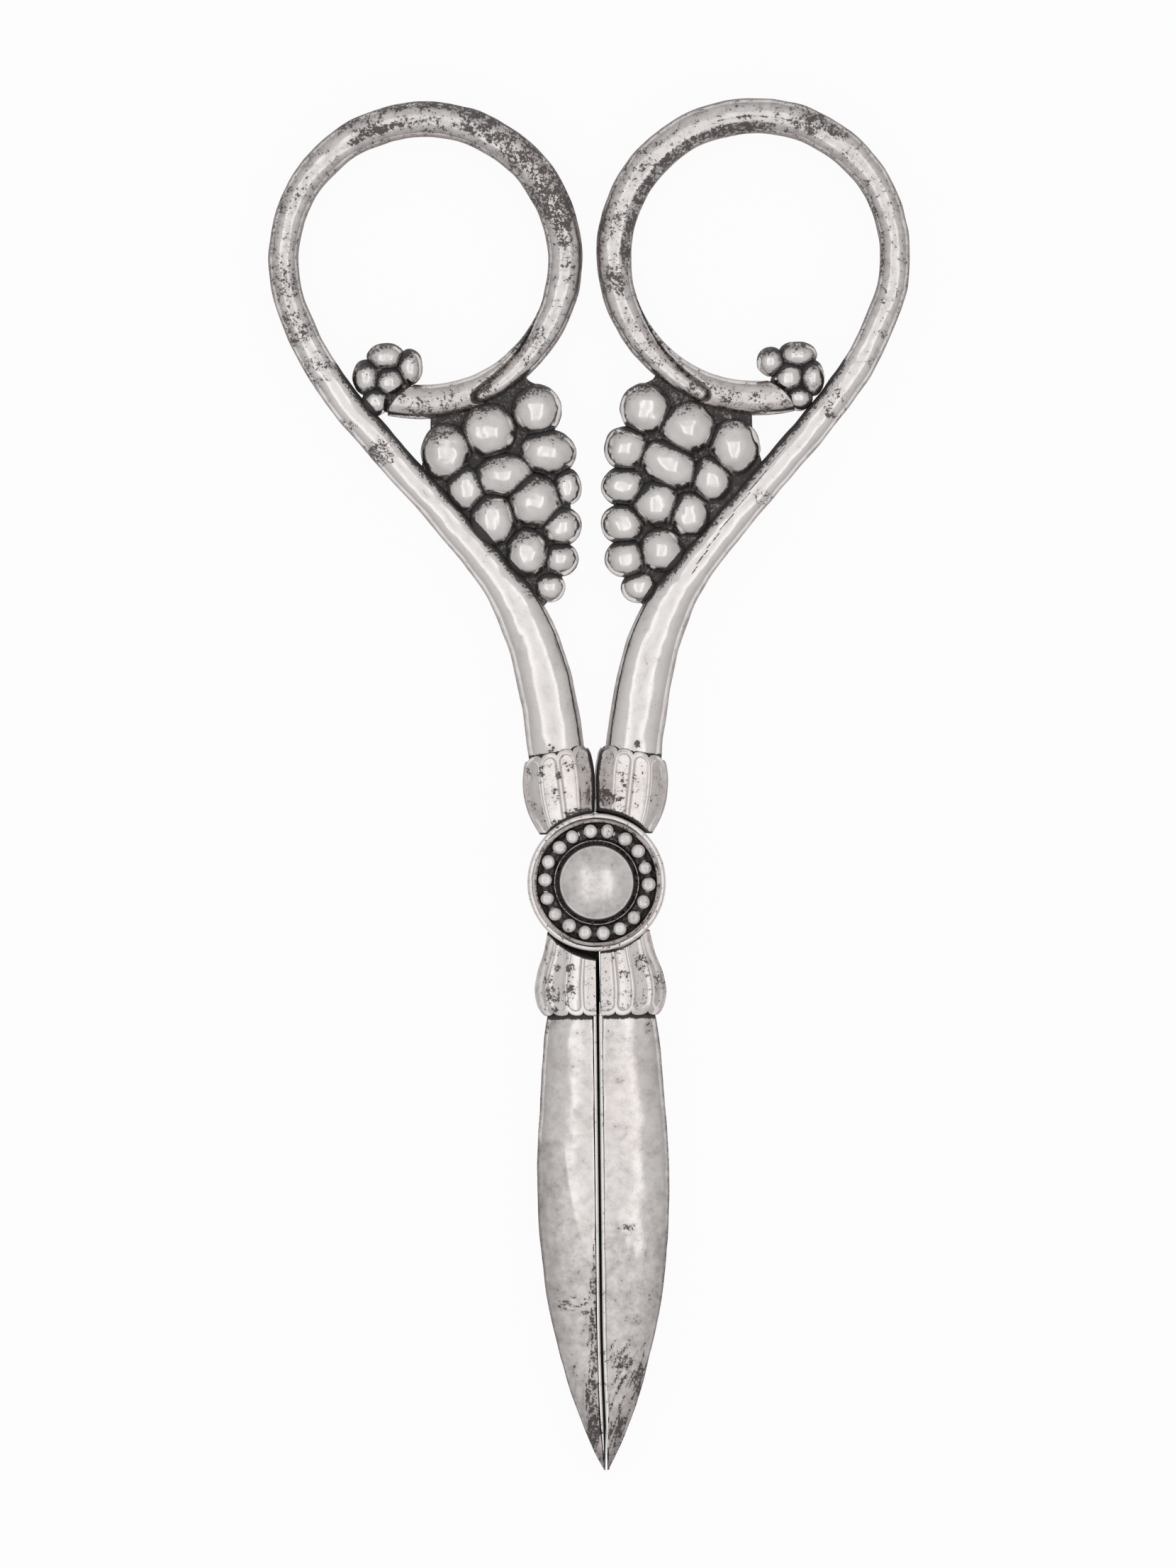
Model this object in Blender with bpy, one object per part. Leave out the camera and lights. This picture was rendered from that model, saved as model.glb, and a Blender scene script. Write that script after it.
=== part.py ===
# Grape shears: two silver handles that end in vine bows, each with a cast bunch of grapes,
# crossing at a riveted pivot under a beaded rosette, with a leaf-shaped pair of blades.
#
# Metres, +Z up. The shears lie flat and closed. The pivot stands on the Z axis, the finger
# bows are towards +Y, the blades towards -Y, and the rosette faces +Z. The flat back of the
# rear lug is the plane z = 0. The front half is the left handle with the right blade, and
# the rear half is the right handle with the left blade. Most pieces are drawn about the
# plane where the two lugs meet, and are lifted by half of the body's depth.

import math

import bmesh
import bpy
from mathutils import Vector
from mathutils.geometry import interpolate_bezier

MM = 0.001

# Whole shears
BODY_DEPTH = 6.0 * MM            # lugs, collars and grape bunches, front to back
SOLDER_SEAM = 0.06 * MM          # between pieces soldered to each other
RUNNING_GAP = 0.10 * MM          # between faces that turn on each other
CUT_OVERRUN = 1.0 * MM           # how far a cutter passes the face that it cuts
MERGE_DISTANCE = 0.002 * MM      # points closer than this are one point

# Finger bows: one rod makes the shank and the ring
SHANK_WIDTH = 6.6 * MM           # at the collar, the widest place
SHANK_SETBACK = 0.55 * MM        # from the collars' front and back to the shanks'
SHANK_DEPTH = BODY_DEPTH - 2 * SHANK_SETBACK
SHANK_LOWER_WIDTH_SHARES = ((0, 1.0), (0.22, 0.97), (0.5, 0.87), (0.72, 0.68), (1, 0.59))
SHANK_UPPER_WIDTH_SHARES = ((0, 0.59), (0.5, 0.585), (1, 0.55))
RING_WIDTH_SHARES = ((0, 0.55), (0.2, 0.58), (0.45, 0.66), (0.8, 0.66), (1, 0.58))
TIP_WIDTH_SHARES = ((0, 0.58), (0.35, 0.47), (0.65, 0.39), (0.88, 0.29), (0.96, 0.22), (1, 0.10))
SHANK_LOWER_DEPTH_SHARES = ((0, 1.0), (0.3, 0.97), (0.7, 0.84), (1, 0.78))
SHANK_UPPER_DEPTH_SHARES = ((0, 0.78), (1, 0.74))
RING_DEPTH_SHARES = ((0, 0.74), (0.5, 0.80), (1, 0.78))
TIP_DEPTH_SHARES = ((0, 0.78), (0.5, 0.66), (0.85, 0.50), (0.96, 0.38), (1, 0.20))
ROD_SQUARENESS = 2.3             # 2 is an ellipse, and more is squarer
ROD_SIDES = 10
BOW_GAP = 1.14 * MM              # between the two rings when the shears are closed
RING_RADIUS = 15.9 * MM          # to the middle of the rod
RING_X = (BOW_GAP + SHANK_WIDTH * RING_WIDTH_SHARES[2][1]) / 2 + RING_RADIUS
RING_Y = 70.5 * MM               # ring centre, from the pivot
RING_LEAVE_ANGLE = -20.0         # where the shank runs into the ring, degrees
RING_END_ANGLE = 205.0           # where the ring leaves its circle for its free end
SHANK_FOOT_Y = 12.6 * MM         # lower end of the shank, inside its collar
SHANK_BEND_INSET = 0.25 * MM     # a place half way up the shank: from the ring's centre
SHANK_BEND_DROP = 11.0 * MM      # line towards the axis, and below the ring's circle
SHANK_BEND_X = RING_X - SHANK_BEND_INSET
SHANK_BEND_Y = RING_Y - RING_RADIUS - SHANK_BEND_DROP
SHANK_BEND_ANGLE = 49.0          # slope of the shank there, degrees from +X
SHANK_LOWER_PULL_SHARES = (0.527, 0.469)    # of the distance between a curve's two ends
SHANK_UPPER_PULL_SHARES = (0.494, 0.342)
BOW_TIP_SHARES = (-0.355, -1.0)  # free end of the rod from the ring's centre, over its radius
BOW_TIP_X = RING_X + RING_RADIUS * BOW_TIP_SHARES[0]
BOW_TIP_Y = RING_Y + RING_RADIUS * BOW_TIP_SHARES[1]
BOW_TIP_ANGLE = -36.0
BOW_TIP_PULL_SHARES = (0.512, 0.236)

# Stems: the cut end of vine inside each bow
STEM_START_ANGLE = 216.0         # degrees round the ring's centre
STEM_END_ANGLE = 279.0
STEM_INSET = 1.85 * MM           # from the ring's circle to the stem's inner edge
STEM_INNER_RADIUS = RING_RADIUS - STEM_INSET
STEM_WIDTH = 4.0 * MM
STEM_DEPTH = 4.2 * MM
STEM_WIDTH_SHARES = ((0, 0.16), (0.18, 0.26), (0.42, 0.70), (0.56, 0.96), (1, 1.0))
STEM_DEPTH_SHARES = ((0, 0.50), (0.2, 0.70), (0.5, 1.0), (1, 1.0))
STEM_CUT_SLANT = 2.8 * MM        # the slanted cut, measured along the rod
STEM_CUP_LIP = 0.45 * MM
STEM_CUP_DEPTH = 0.5 * MM

# Grape bunches: each casting fills the space between shank and bow
BUNCH_X = 1.4 * MM               # inner edge of the bunch, from the axis of the shears
BUNCH_WIDTH = SHANK_BEND_X - BUNCH_X
BUNCH_TOP_RISE = 1.8 * MM        # its top, above the lowest place of the ring's circle
BUNCH_TOP_Y = RING_Y - RING_RADIUS + BUNCH_TOP_RISE
WEB_DEPTH = 1.3 * MM
GRAPE_FATNESS = 1.12             # half depth of a grape over its mean radius
# Each grape: across and down from the bunch's inner top corner, half width, half height,
# as shares of the bunch's width, then its tilt in degrees.
LEFT_GRAPE_SHARES = (
    (0.28, 0.18, 0.150, 0.160, 0),
    (0.60, 0.31, 0.175, 0.170, 0),
    (0.88, 0.45, 0.155, 0.180, 0),
    (0.21, 0.46, 0.175, 0.140, -8),
    (0.51, 0.61, 0.190, 0.135, 10),
    (0.75, 0.69, 0.125, 0.145, 18),
    (0.30, 0.78, 0.165, 0.170, 0),
    (0.085, 0.69, 0.090, 0.110, 0),
    (0.575, 0.90, 0.145, 0.165, 14),
    (0.125, 0.95, 0.120, 0.120, 0),
    (0.35, 1.125, 0.135, 0.155, 8),
    (0.135, 1.17, 0.110, 0.100, 0),
    (0.205, 1.355, 0.095, 0.090, 0),
)
RIGHT_GRAPE_SHARES = (
    (0.28, 0.18, 0.155, 0.160, 0),
    (0.56, 0.31, 0.175, 0.165, 0),
    (0.865, 0.44, 0.155, 0.175, 8),
    (0.15, 0.44, 0.135, 0.135, 0),
    (0.43, 0.55, 0.195, 0.140, -32),
    (0.71, 0.65, 0.125, 0.145, 16),
    (0.345, 0.81, 0.145, 0.145, 0),
    (0.13, 0.69, 0.135, 0.120, 0),
    (0.56, 0.88, 0.130, 0.140, 0),
    (0.12, 0.94, 0.132, 0.120, -12),
    (0.375, 1.12, 0.140, 0.140, 0),
    (0.135, 1.17, 0.125, 0.120, 0),
    (0.22, 1.36, 0.110, 0.095, 10),
)
# The flat web behind the grapes, round from the bow's end, as shares of the same width.
WEB_OUTLINE_SHARES = (
    (0.40, -0.10), (0.33, -0.02), (0.20, 0.05), (0.17, 0.18), (0.17, 0.30), (0.11, 0.42),
    (0.07, 0.66), (0.06, 0.95), (0.08, 1.17), (0.16, 1.36), (0.28, 1.50), (0.42, 1.44),
    (0.62, 1.20), (0.86, 0.92), (1.04, 0.68), (1.05, 0.56), (1.02, 0.44), (0.99, 0.32),
    (0.955, 0.12), (0.72, 0.06),
)

# Berry sprigs between each stem and its shank
SPRIG_PLACE_SHARES = (0.274, -0.849)    # its middle from the ring's centre, over its radius
SPRIG_X = RING_X + RING_RADIUS * SPRIG_PLACE_SHARES[0]
SPRIG_Y = RING_Y + RING_RADIUS * SPRIG_PLACE_SHARES[1]
SPRIG_WIDTH = 6.0 * MM
SPRIG_DEPTH = 4.0 * MM
# Each berry: away from the axis and up from the sprig's middle, half width, half height.
LEFT_BERRY_SHARES = (
    (0.02, 0.43, 0.27, 0.20),
    (-0.43, 0.24, 0.18, 0.26),
    (-0.05, -0.04, 0.22, 0.22),
    (0.39, 0.05, 0.20, 0.25),
    (0.22, -0.41, 0.20, 0.20),
)
RIGHT_BERRY_SHARES = (
    (0.06, 0.38, 0.28, 0.19),
    (-0.44, 0.26, 0.20, 0.21),
    (-0.10, -0.04, 0.22, 0.24),
    (0.33, -0.05, 0.18, 0.26),
    (0.08, -0.43, 0.20, 0.18),
)
SPRIG_BASE_SHARES = (0.50, 0.44)    # half width and half height of the base under them
SPRIG_BASE_DEPTH = 2.2 * MM

# Pivot lugs and their tangs
LUG_RADIUS = 7.8 * MM
LUG_CHAMFER = 0.3 * MM
LUG_ARC_GAP = 0.65 * MM          # from one half's lug to the other half's collars
TANG_WIDTH = 2.9 * MM
TANG_DEPTH_SHARE = 0.25          # of the body's depth
TANG_DEPTH = BODY_DEPTH * TANG_DEPTH_SHARE
TANG_LIFT = 0.2 * MM             # from the plane between the lugs
TANG_SEAT = 3.4 * MM             # how deep a tang sits in its shank or blade
TANG_ROOT_Y = 3.6 * MM

# Upper collars: fluted sleeves over the joint of lug and shank
UPPER_COLLAR_WALL = 0.75 * MM
UPPER_COLLAR_WIDTH = SHANK_WIDTH + 2 * UPPER_COLLAR_WALL
UPPER_COLLAR_FLUTES = 10
UPPER_COLLAR_WIDTH_SHARES = ((0, 0.77), (0.33, 0.89), (0.75, 1.0), (0.93, 0.97), (1, 0.90))
UPPER_COLLAR_FOOT_GAP = 0.26 * MM    # between the two collars at their feet
UPPER_COLLAR_GAP = 0.05 * MM         # and where they are widest
UPPER_COLLAR_FOOT_X = (UPPER_COLLAR_WIDTH * UPPER_COLLAR_WIDTH_SHARES[0][1]
                       + UPPER_COLLAR_FOOT_GAP) / 2
UPPER_COLLAR_FOOT_Y = 5.4 * MM
UPPER_COLLAR_LEAN = (UPPER_COLLAR_WIDTH + UPPER_COLLAR_GAP) / 2 - UPPER_COLLAR_FOOT_X
UPPER_COLLAR_CROWN_X = UPPER_COLLAR_FOOT_X + UPPER_COLLAR_LEAN / UPPER_COLLAR_WIDTH_SHARES[2][0]
SHANK_SEAT = 2.1 * MM                # how deep the shank's foot sits in its collar
UPPER_COLLAR_CROWN_Y = SHANK_FOOT_Y + SHANK_SEAT
COLLAR_DEPTH_SHARES = ((0, 0.88), (0.33, 0.95), (0.75, 1.0), (0.93, 0.98), (1, 0.95))
COLLAR_STATION_SHARES = (0, 0.33, 0.66, 0.88, 1)
FLUTE_RISE = 0.24 * MM           # how far each flute stands out from the grooves
CROWN_SCALLOP = 0.55 * MM        # how far the crown dips at each groove
CROWN_SLOPE = 0.6 * MM           # fall of the crown's face from its rim to its inner ring
CROWN_INSET = 0.6 * MM           # how far that inner ring lies inside the rod or the blade
FLUTE_RISE_SHARES = ((0, 0.8), (0.4, 1.0), (0.85, 0.9), (1, 0.4))
POINTS_PER_FLUTE = 3
SOCKET_POINTS = 20               # round the hollow for a blade's root, out of step with the flutes

# Blades and lower collars share an axis a little right of the pivot
BLADE_AXIS_X = 0.35 * MM
BLADE_ROOT_Y = -13.5 * MM
BLADE_TIP_Y = -66.5 * MM
BLADE_WIDTH = 15.1 * MM          # both blades together
BLADE_SETBACK = 0.4 * MM         # from the collars' front and back to the blades'
BLADE_DEPTH = BODY_DEPTH - 2 * BLADE_SETBACK
BLADE_GAP = 0.28 * MM            # the black line between the two blades
BLADE_LAP = 0.40 * MM            # half of the lap where one blade passes under the other
LAP_SHARES = ((0, 1.0), (0.66, 1.0), (1, 0.2))
BLADE_WIDTH_SHARES = (
    (0, 0.74), (0.03, 0.82), (0.18, 0.93), (0.40, 1.0), (0.60, 0.90), (0.79, 0.62),
    (0.91, 0.34), (1, 0.09),
)
BLADE_DEPTH_SHARES = ((0, 0.93), (0.1, 0.99), (0.4, 0.92), (0.75, 0.68), (0.93, 0.42), (1, 0.26))
BLADE_STATION_SHARES = (
    0, 0.03, 0.07, 0.13, 0.21, 0.30, 0.39, 0.48, 0.57, 0.65, 0.72, 0.79, 0.85, 0.90, 0.94, 0.975, 1,
)
BLADE_ROUNDNESS = 2.2
BLADE_FACE_POINTS = 7
LINER_THICKNESS = 0.38 * MM      # steel let into the silver along the cut
LINER_TIP_SHARES = ((0, 1.0), (0.85, 1.0), (1, 0.6))

LOWER_COLLAR_FOOT_X = 0.17 * MM  # its axis leans from here to the blades' axis
LOWER_COLLAR_FOOT_Y = -5.4 * MM
LOWER_COLLAR_CROWN_Y = -14.9 * MM
LOWER_COLLAR_SETBACK = 0.15 * MM # how much narrower the barrel is than the blades
LOWER_COLLAR_WIDTH = BLADE_WIDTH - LOWER_COLLAR_SETBACK
LOWER_COLLAR_SEAM_X = 0.07 * MM
LOWER_COLLAR_GAP = 0.40 * MM
LOWER_COLLAR_FLUTES = 8          # round one half, front to back
LOWER_COLLAR_WIDTH_SHARES = ((0, 0.77), (0.28, 0.85), (0.50, 0.95), (0.72, 1.0), (0.9, 0.96),
                             (1, 0.88))
LOWER_TANG_X = BLADE_WIDTH * BLADE_WIDTH_SHARES[0][1] / 4    # middle of one blade's root

# Rosette on the front lug
ROSETTE_SETBACK = 0.45 * MM      # from the lug's edge
ROSETTE_RADIUS = LUG_RADIUS - ROSETTE_SETBACK
ROSETTE_EDGE_HEIGHT = 0.8 * MM
ROSETTE_RIM_SLOPE = 0.4 * MM     # width of the rim's sloping side
ROSETTE_RIM_RADIUS = ROSETTE_RADIUS - ROSETTE_RIM_SLOPE
ROSETTE_RIM_HEIGHT = 1.7 * MM
ROSETTE_RIM_WIDTH = 0.25 * MM
BEAD_COUNT = 18
BEAD_PHASE = -3.5                # angle of the first bead, degrees from +X
BEAD_RADIUS = 0.76 * MM
BEAD_CLEARANCE = 0.14 * MM       # between the beads and the channel's walls
CHANNEL_OUTER_RADIUS = ROSETTE_RIM_RADIUS - ROSETTE_RIM_WIDTH
BEAD_CIRCLE_RADIUS = CHANNEL_OUTER_RADIUS - BEAD_CLEARANCE - BEAD_RADIUS
CHANNEL_INNER_RADIUS = BEAD_CIRCLE_RADIUS - BEAD_RADIUS - BEAD_CLEARANCE
CHANNEL_FLOOR = 0.45 * MM
BEZEL_WIDTH = 0.35 * MM
BEZEL_RADIUS = CHANNEL_INNER_RADIUS - BEZEL_WIDTH
BEZEL_HEIGHT = 1.05 * MM
DOME_SEAT_HEIGHT = 0.7 * MM
BEAD_WIRE_RADIUS = 0.34 * MM
BEAD_STATION_SHARES = (-0.8, -0.3, 0.3, 0.8)
BEAD_SIDES = 6
ROUND_SEGMENTS = 32
LUG_SEGMENTS = 48

# Pivot rivet: domed head over the rosette, tail closed flush in the rear lug
RIVET_RADIUS = 2.0 * MM
RIVET_TAIL_FLARE = 0.75 * MM     # how much wider the closed tail is
RIVET_TAIL_RADIUS = RIVET_RADIUS + RIVET_TAIL_FLARE
RIVET_TAIL_DEPTH = 0.9 * MM
DOME_CLEARANCE = 0.19 * MM       # between the dome and its bezel
DOME_RADIUS = BEZEL_RADIUS - DOME_CLEARANCE
DOME_EDGE_HEIGHT = 0.3 * MM
DOME_RISE = 1.6 * MM
DOME_STEPS = 4

LEFT, RIGHT = -1, 1
FRONT, REAR = 1, -1
MID_Z = BODY_DEPTH / 2

SILVER = (0.72, 0.70, 0.68, 1.0)
OLD_SILVER = (0.60, 0.58, 0.57, 1.0)
STEEL = (0.78, 0.78, 0.78, 1.0)


# Shared drawing tools

def remove_everything():
    for item in list(bpy.data.objects):
        bpy.data.objects.remove(item, do_unlink=True)
    for mesh in list(bpy.data.meshes):
        bpy.data.meshes.remove(mesh)


def smooth_value(stops, at):
    """Value at `at` of a smooth curve that passes through the (place, value) stops."""
    slopes = [(b[1] - a[1]) / (b[0] - a[0]) for a, b in zip(stops, stops[1:])]
    bends = [0.0 if a * b <= 0 else 2 * a * b / (a + b) for a, b in zip(slopes, slopes[1:])]
    tangents = [slopes[0]] + bends + [slopes[-1]]
    last = len(stops) - 2
    index = next((i for i in range(last) if at < stops[i + 1][0]), last)
    (x0, y0), (x1, y1) = stops[index], stops[index + 1]
    span = x1 - x0
    t = (at - x0) / span
    rise = tangents[index] * span * (t - 2 * t ** 2 + t ** 3)
    settle = tangents[index + 1] * span * (t ** 3 - t ** 2)
    return y0 + (y1 - y0) * (3 * t ** 2 - 2 * t ** 3) + rise + settle


def direction(degrees):
    angle = math.radians(degrees)
    return Vector((math.cos(angle), math.sin(angle)))


def bezier(start, start_degrees, end, end_degrees, pull_shares, count):
    """Points of a curve that leaves and arrives at given slopes."""
    span = (end - start).length
    first = start + direction(start_degrees) * span * pull_shares[0]
    second = end - direction(end_degrees) * span * pull_shares[1]
    return [Vector(p) for p in interpolate_bezier(start, first, second, end, count)]


def loft(rings):
    """A closed body through rings of equal length, with both ends capped."""
    body = bmesh.new()
    rows = [[body.verts.new(point) for point in ring] for ring in rings]
    for lower, upper in zip(rows, rows[1:]):
        for i in range(len(lower)):
            j = (i + 1) % len(lower)
            body.faces.new((lower[i], lower[j], upper[j], upper[i]))
    body.faces.new(list(reversed(rows[0])))
    body.faces.new(rows[-1])
    return body


def revolve(profile, segments):
    """A closed body turned round Z from (radius, z) points; radius 0 makes a pole."""
    body = bmesh.new()
    rows = []
    for radius, z in profile:
        if radius == 0:
            rows.append([body.verts.new((0, 0, z))])
            continue
        turns = [direction(360 * i / segments) * radius for i in range(segments)]
        rows.append([body.verts.new((turn.x, turn.y, z)) for turn in turns])
    closed = profile[0][0] > 0 or profile[-1][0] > 0
    pairs = list(zip(rows, rows[1:] + rows[:1])) if closed else list(zip(rows, rows[1:]))
    for a, b in pairs:
        for i in range(segments):
            j = (i + 1) % segments
            corners = [a[i % len(a)], a[j % len(a)], b[j % len(b)], b[i % len(b)]]
            body.faces.new(list(dict.fromkeys(corners)))
    return body


def ellipsoid(centre, radii, tilt=0.0, segments=8, rings=6):
    body = bmesh.new()
    bmesh.ops.create_uvsphere(body, u_segments=segments, v_segments=rings, radius=1)
    turn = math.radians(tilt)
    for vert in body.verts:
        x, y, z = (vert.co[axis] * radii[axis] for axis in range(3))
        across = x * math.cos(turn) - y * math.sin(turn)
        along = x * math.sin(turn) + y * math.cos(turn)
        vert.co = centre + Vector((across, along, z))
    return body


def prism(outline, low, high):
    """An upright block from a flat outline."""
    return loft([[(x, y, low) for x, y in outline], [(x, y, high) for x, y in outline]])


def make_object(name, body, colour=SILVER, roughness=0.3, lift=MID_Z):
    """Turns a bmesh into a named object with its own metal, its origin on the pivot axis."""
    bmesh.ops.recalc_face_normals(body, faces=body.faces)
    mesh = bpy.data.meshes.new(name)
    body.to_mesh(mesh)
    body.free()
    item = bpy.data.objects.new(name, mesh)
    item.location = (0, 0, lift)
    bpy.context.collection.objects.link(item)
    metal = bpy.data.materials.new(name + "_metal")
    metal.use_nodes = True
    shader = metal.node_tree.nodes["Principled BSDF"]
    shader.inputs["Base Color"].default_value = colour
    shader.inputs["Metallic"].default_value = 1.0
    shader.inputs["Roughness"].default_value = roughness
    metal.diffuse_color = colour
    mesh.materials.append(metal)
    return item


def combine(target, tool_body, operation):
    """Joins a body to an object, or cuts it away, and keeps the result as plain mesh."""
    tool = make_object(target.name + "_tool", tool_body, lift=target.location.z)
    tool.hide_render = True
    tool.display_type = 'WIRE'
    step = target.modifiers.new(operation, 'BOOLEAN')
    step.operation = operation
    step.solver = 'EXACT'
    step.object = tool
    graph = bpy.context.evaluated_depsgraph_get()
    graph.update()
    plain = target.data
    target.data = bpy.data.meshes.new_from_object(target.evaluated_get(graph))
    target.data.name = target.name
    target.modifiers.clear()
    body = bmesh.new()
    body.from_mesh(target.data)
    bmesh.ops.remove_doubles(body, verts=body.verts, dist=MERGE_DISTANCE)
    bmesh.ops.dissolve_degenerate(body, edges=body.edges, dist=MERGE_DISTANCE)
    body.to_mesh(target.data)
    body.free()
    while len(target.data.materials) > 1:
        target.data.materials.pop()
    for polygon in target.data.polygons:
        polygon.material_index = 0
    bpy.data.objects.remove(tool, do_unlink=True)
    bpy.data.meshes.remove(plain)


def join(target, tool_body):
    combine(target, tool_body, 'UNION')


def cut(target, tool_body):
    combine(target, tool_body, 'DIFFERENCE')


def finish(item, pivot, sharp_degrees=35.0):
    """Shades the piece and hangs it on the empty of the half that carries it."""
    item.data.shade_smooth()
    item.data.set_sharp_from_angle(angle=math.radians(sharp_degrees))
    item.parent = pivot


# Rods of the handles

def rod(path, widths, depths, grow=0.0, sides=ROD_SIDES):
    """An oval rod along a flat path, all round thicker by `grow`."""
    rings = []
    last = len(path) - 1
    for i, point in enumerate(path):
        ahead = (path[min(i + 1, last)] - path[max(i - 1, 0)]).normalized()
        across = Vector((-ahead.y, ahead.x))
        half_width = widths[i] / 2 + grow
        half_depth = depths[i] / 2 + grow
        ring = []
        for k in range(sides):
            turn = direction(360 * (k + 0.5) / sides)
            reach = (abs(turn.x) ** ROD_SQUARENESS + abs(turn.y) ** ROD_SQUARENESS)
            turn = turn * reach ** (-1 / ROD_SQUARENESS)
            spot = point + across * (turn.x * half_width)
            ring.append(Vector((spot.x, spot.y, turn.y * half_depth)))
        rings.append(ring)
    return rings


def even_shares(count):
    return [i / (count - 1) for i in range(count)]


def mirrored(points, side):
    return [Vector((point.x * side,) + tuple(point)[1:]) for point in points]


def collar_axis(y):
    """Where the leaning axis of an upper collar, its tang and its shank lies at height y."""
    lean = (UPPER_COLLAR_CROWN_X - UPPER_COLLAR_FOOT_X) / (
        UPPER_COLLAR_CROWN_Y - UPPER_COLLAR_FOOT_Y)
    return Vector((UPPER_COLLAR_FOOT_X + (y - UPPER_COLLAR_FOOT_Y) * lean, y))


def ring_point(degrees, inset=0.0):
    return Vector((RING_X, RING_Y)) + direction(degrees) * (RING_RADIUS - inset)


def shank_curves():
    """The shank's middle line: from its foot to the bend, and from there into the ring."""
    foot = collar_axis(SHANK_FOOT_Y)
    upward = collar_axis(UPPER_COLLAR_CROWN_Y) - collar_axis(UPPER_COLLAR_FOOT_Y)
    lean = math.degrees(math.atan2(upward.y, upward.x))
    bend = Vector((SHANK_BEND_X, SHANK_BEND_Y))
    lower = bezier(foot, lean, bend, SHANK_BEND_ANGLE, SHANK_LOWER_PULL_SHARES, 11)
    upper = bezier(bend, SHANK_BEND_ANGLE, ring_point(RING_LEAVE_ANGLE), RING_LEAVE_ANGLE + 90,
                   SHANK_UPPER_PULL_SHARES, 7)
    return lower, upper


def bow_body(side, grow=0.0):
    """Shank and ring of one handle as a single rod, from its foot to its free end."""
    lower, upper = shank_curves()
    turn_off = ring_point(RING_END_ANGLE)
    tip = Vector((BOW_TIP_X, BOW_TIP_Y))
    swing = RING_END_ANGLE - RING_LEAVE_ANGLE
    ring = [ring_point(RING_LEAVE_ANGLE + swing * share) for share in even_shares(26)]
    end = bezier(turn_off, RING_END_ANGLE + 90, tip, BOW_TIP_ANGLE, BOW_TIP_PULL_SHARES, 10)
    stretches = (
        (lower, SHANK_LOWER_WIDTH_SHARES, SHANK_LOWER_DEPTH_SHARES),
        (upper, SHANK_UPPER_WIDTH_SHARES, SHANK_UPPER_DEPTH_SHARES),
        (ring, RING_WIDTH_SHARES, RING_DEPTH_SHARES),
        (end, TIP_WIDTH_SHARES, TIP_DEPTH_SHARES),
    )
    path, widths, depths = [], [], []
    for number, (points, width_shares, depth_shares) in enumerate(stretches):
        for i, point in enumerate(points):
            if i == 0 and number > 0:
                continue
            share = i / (len(points) - 1)
            path.append(point)
            widths.append(SHANK_WIDTH * smooth_value(width_shares, share))
            depths.append(SHANK_DEPTH * smooth_value(depth_shares, share))
    path[0] = path[0] - (path[1] - path[0]).normalized() * grow
    path[-1] = path[-1] + direction(BOW_TIP_ANGLE) * grow
    rings = rod(path, widths, depths, grow)
    return loft([mirrored(ring, side) for ring in rings])


def room_outside_shank(side):
    """A block that fills everything on the far side of the shank's middle line."""
    lower, upper = shank_curves()
    line = lower + upper[1:]
    corner = Vector((line[-1].x, line[0].y))
    outline = [(point.x * side, point.y) for point in line + [corner]]
    deep = BODY_DEPTH / 2 + CUT_OVERRUN
    return prism(outline, -deep, deep)


def stem_body(side, grow=0.0):
    """The cut end of vine: a wedge inside the bow that grows into a slanted, cupped end."""
    path, widths, depths = [], [], []
    for share in even_shares(13):
        angle = STEM_START_ANGLE + (STEM_END_ANGLE - STEM_START_ANGLE) * share
        width = STEM_WIDTH * smooth_value(STEM_WIDTH_SHARES, share)
        path.append(ring_point(angle, RING_RADIUS - STEM_INNER_RADIUS - width / 2))
        widths.append(width)
        depths.append(STEM_DEPTH * smooth_value(STEM_DEPTH_SHARES, share))
    rings = rod(path, widths, depths, grow)
    ahead = (path[-1] - path[-2]).normalized()
    across = Vector((-ahead.y, ahead.x))
    for number, ring in enumerate(rings[-4:]):
        slant = STEM_CUT_SLANT * ((number + 1) / 4) ** 2
        for point in ring:
            lean = (Vector(point.xy) - path[number - 4]).dot(across) / STEM_WIDTH
            shift = ahead * (grow - slant * lean)
            point.x += shift.x
            point.y += shift.y
    if grow == 0.0:
        middle = sum(rings[-1], Vector()) / len(rings[-1])
        rim = 1 - STEM_CUP_LIP / (STEM_WIDTH / 2)
        lip = [middle + (point - middle) * rim for point in rings[-1]]
        floor = [point - Vector((ahead.x, ahead.y, 0)) * STEM_CUP_DEPTH for point in lip]
        rings += [lip, floor]
    return loft([mirrored(ring, side) for ring in rings])


def tang_body(side, face, start, end, grow=0.0):
    """A flat bar from the lug through a collar, into the shank or the blade beyond it."""
    ahead = (end - start).normalized()
    across = Vector((-ahead.y, ahead.x)) * (TANG_WIDTH / 2 + grow)
    far = end + ahead * grow
    corners = [start + across, start - across, far - across, far + across]
    outline = [(corner.x * side, corner.y) for corner in corners]
    low = TANG_LIFT - grow
    high = TANG_LIFT + TANG_DEPTH + grow
    return prism(outline, min(face * low, face * high), max(face * low, face * high))


def upper_tang(side, face, grow=0.0):
    return tang_body(side, face, collar_axis(TANG_ROOT_Y),
                     collar_axis(SHANK_FOOT_Y + TANG_SEAT), grow)


def lower_tang(side, face, grow=0.0):
    centre = LOWER_TANG_X + side * BLADE_AXIS_X
    return tang_body(side, face, Vector((centre, -TANG_ROOT_Y)),
                     Vector((centre, BLADE_ROOT_Y - TANG_SEAT)), grow)


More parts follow.
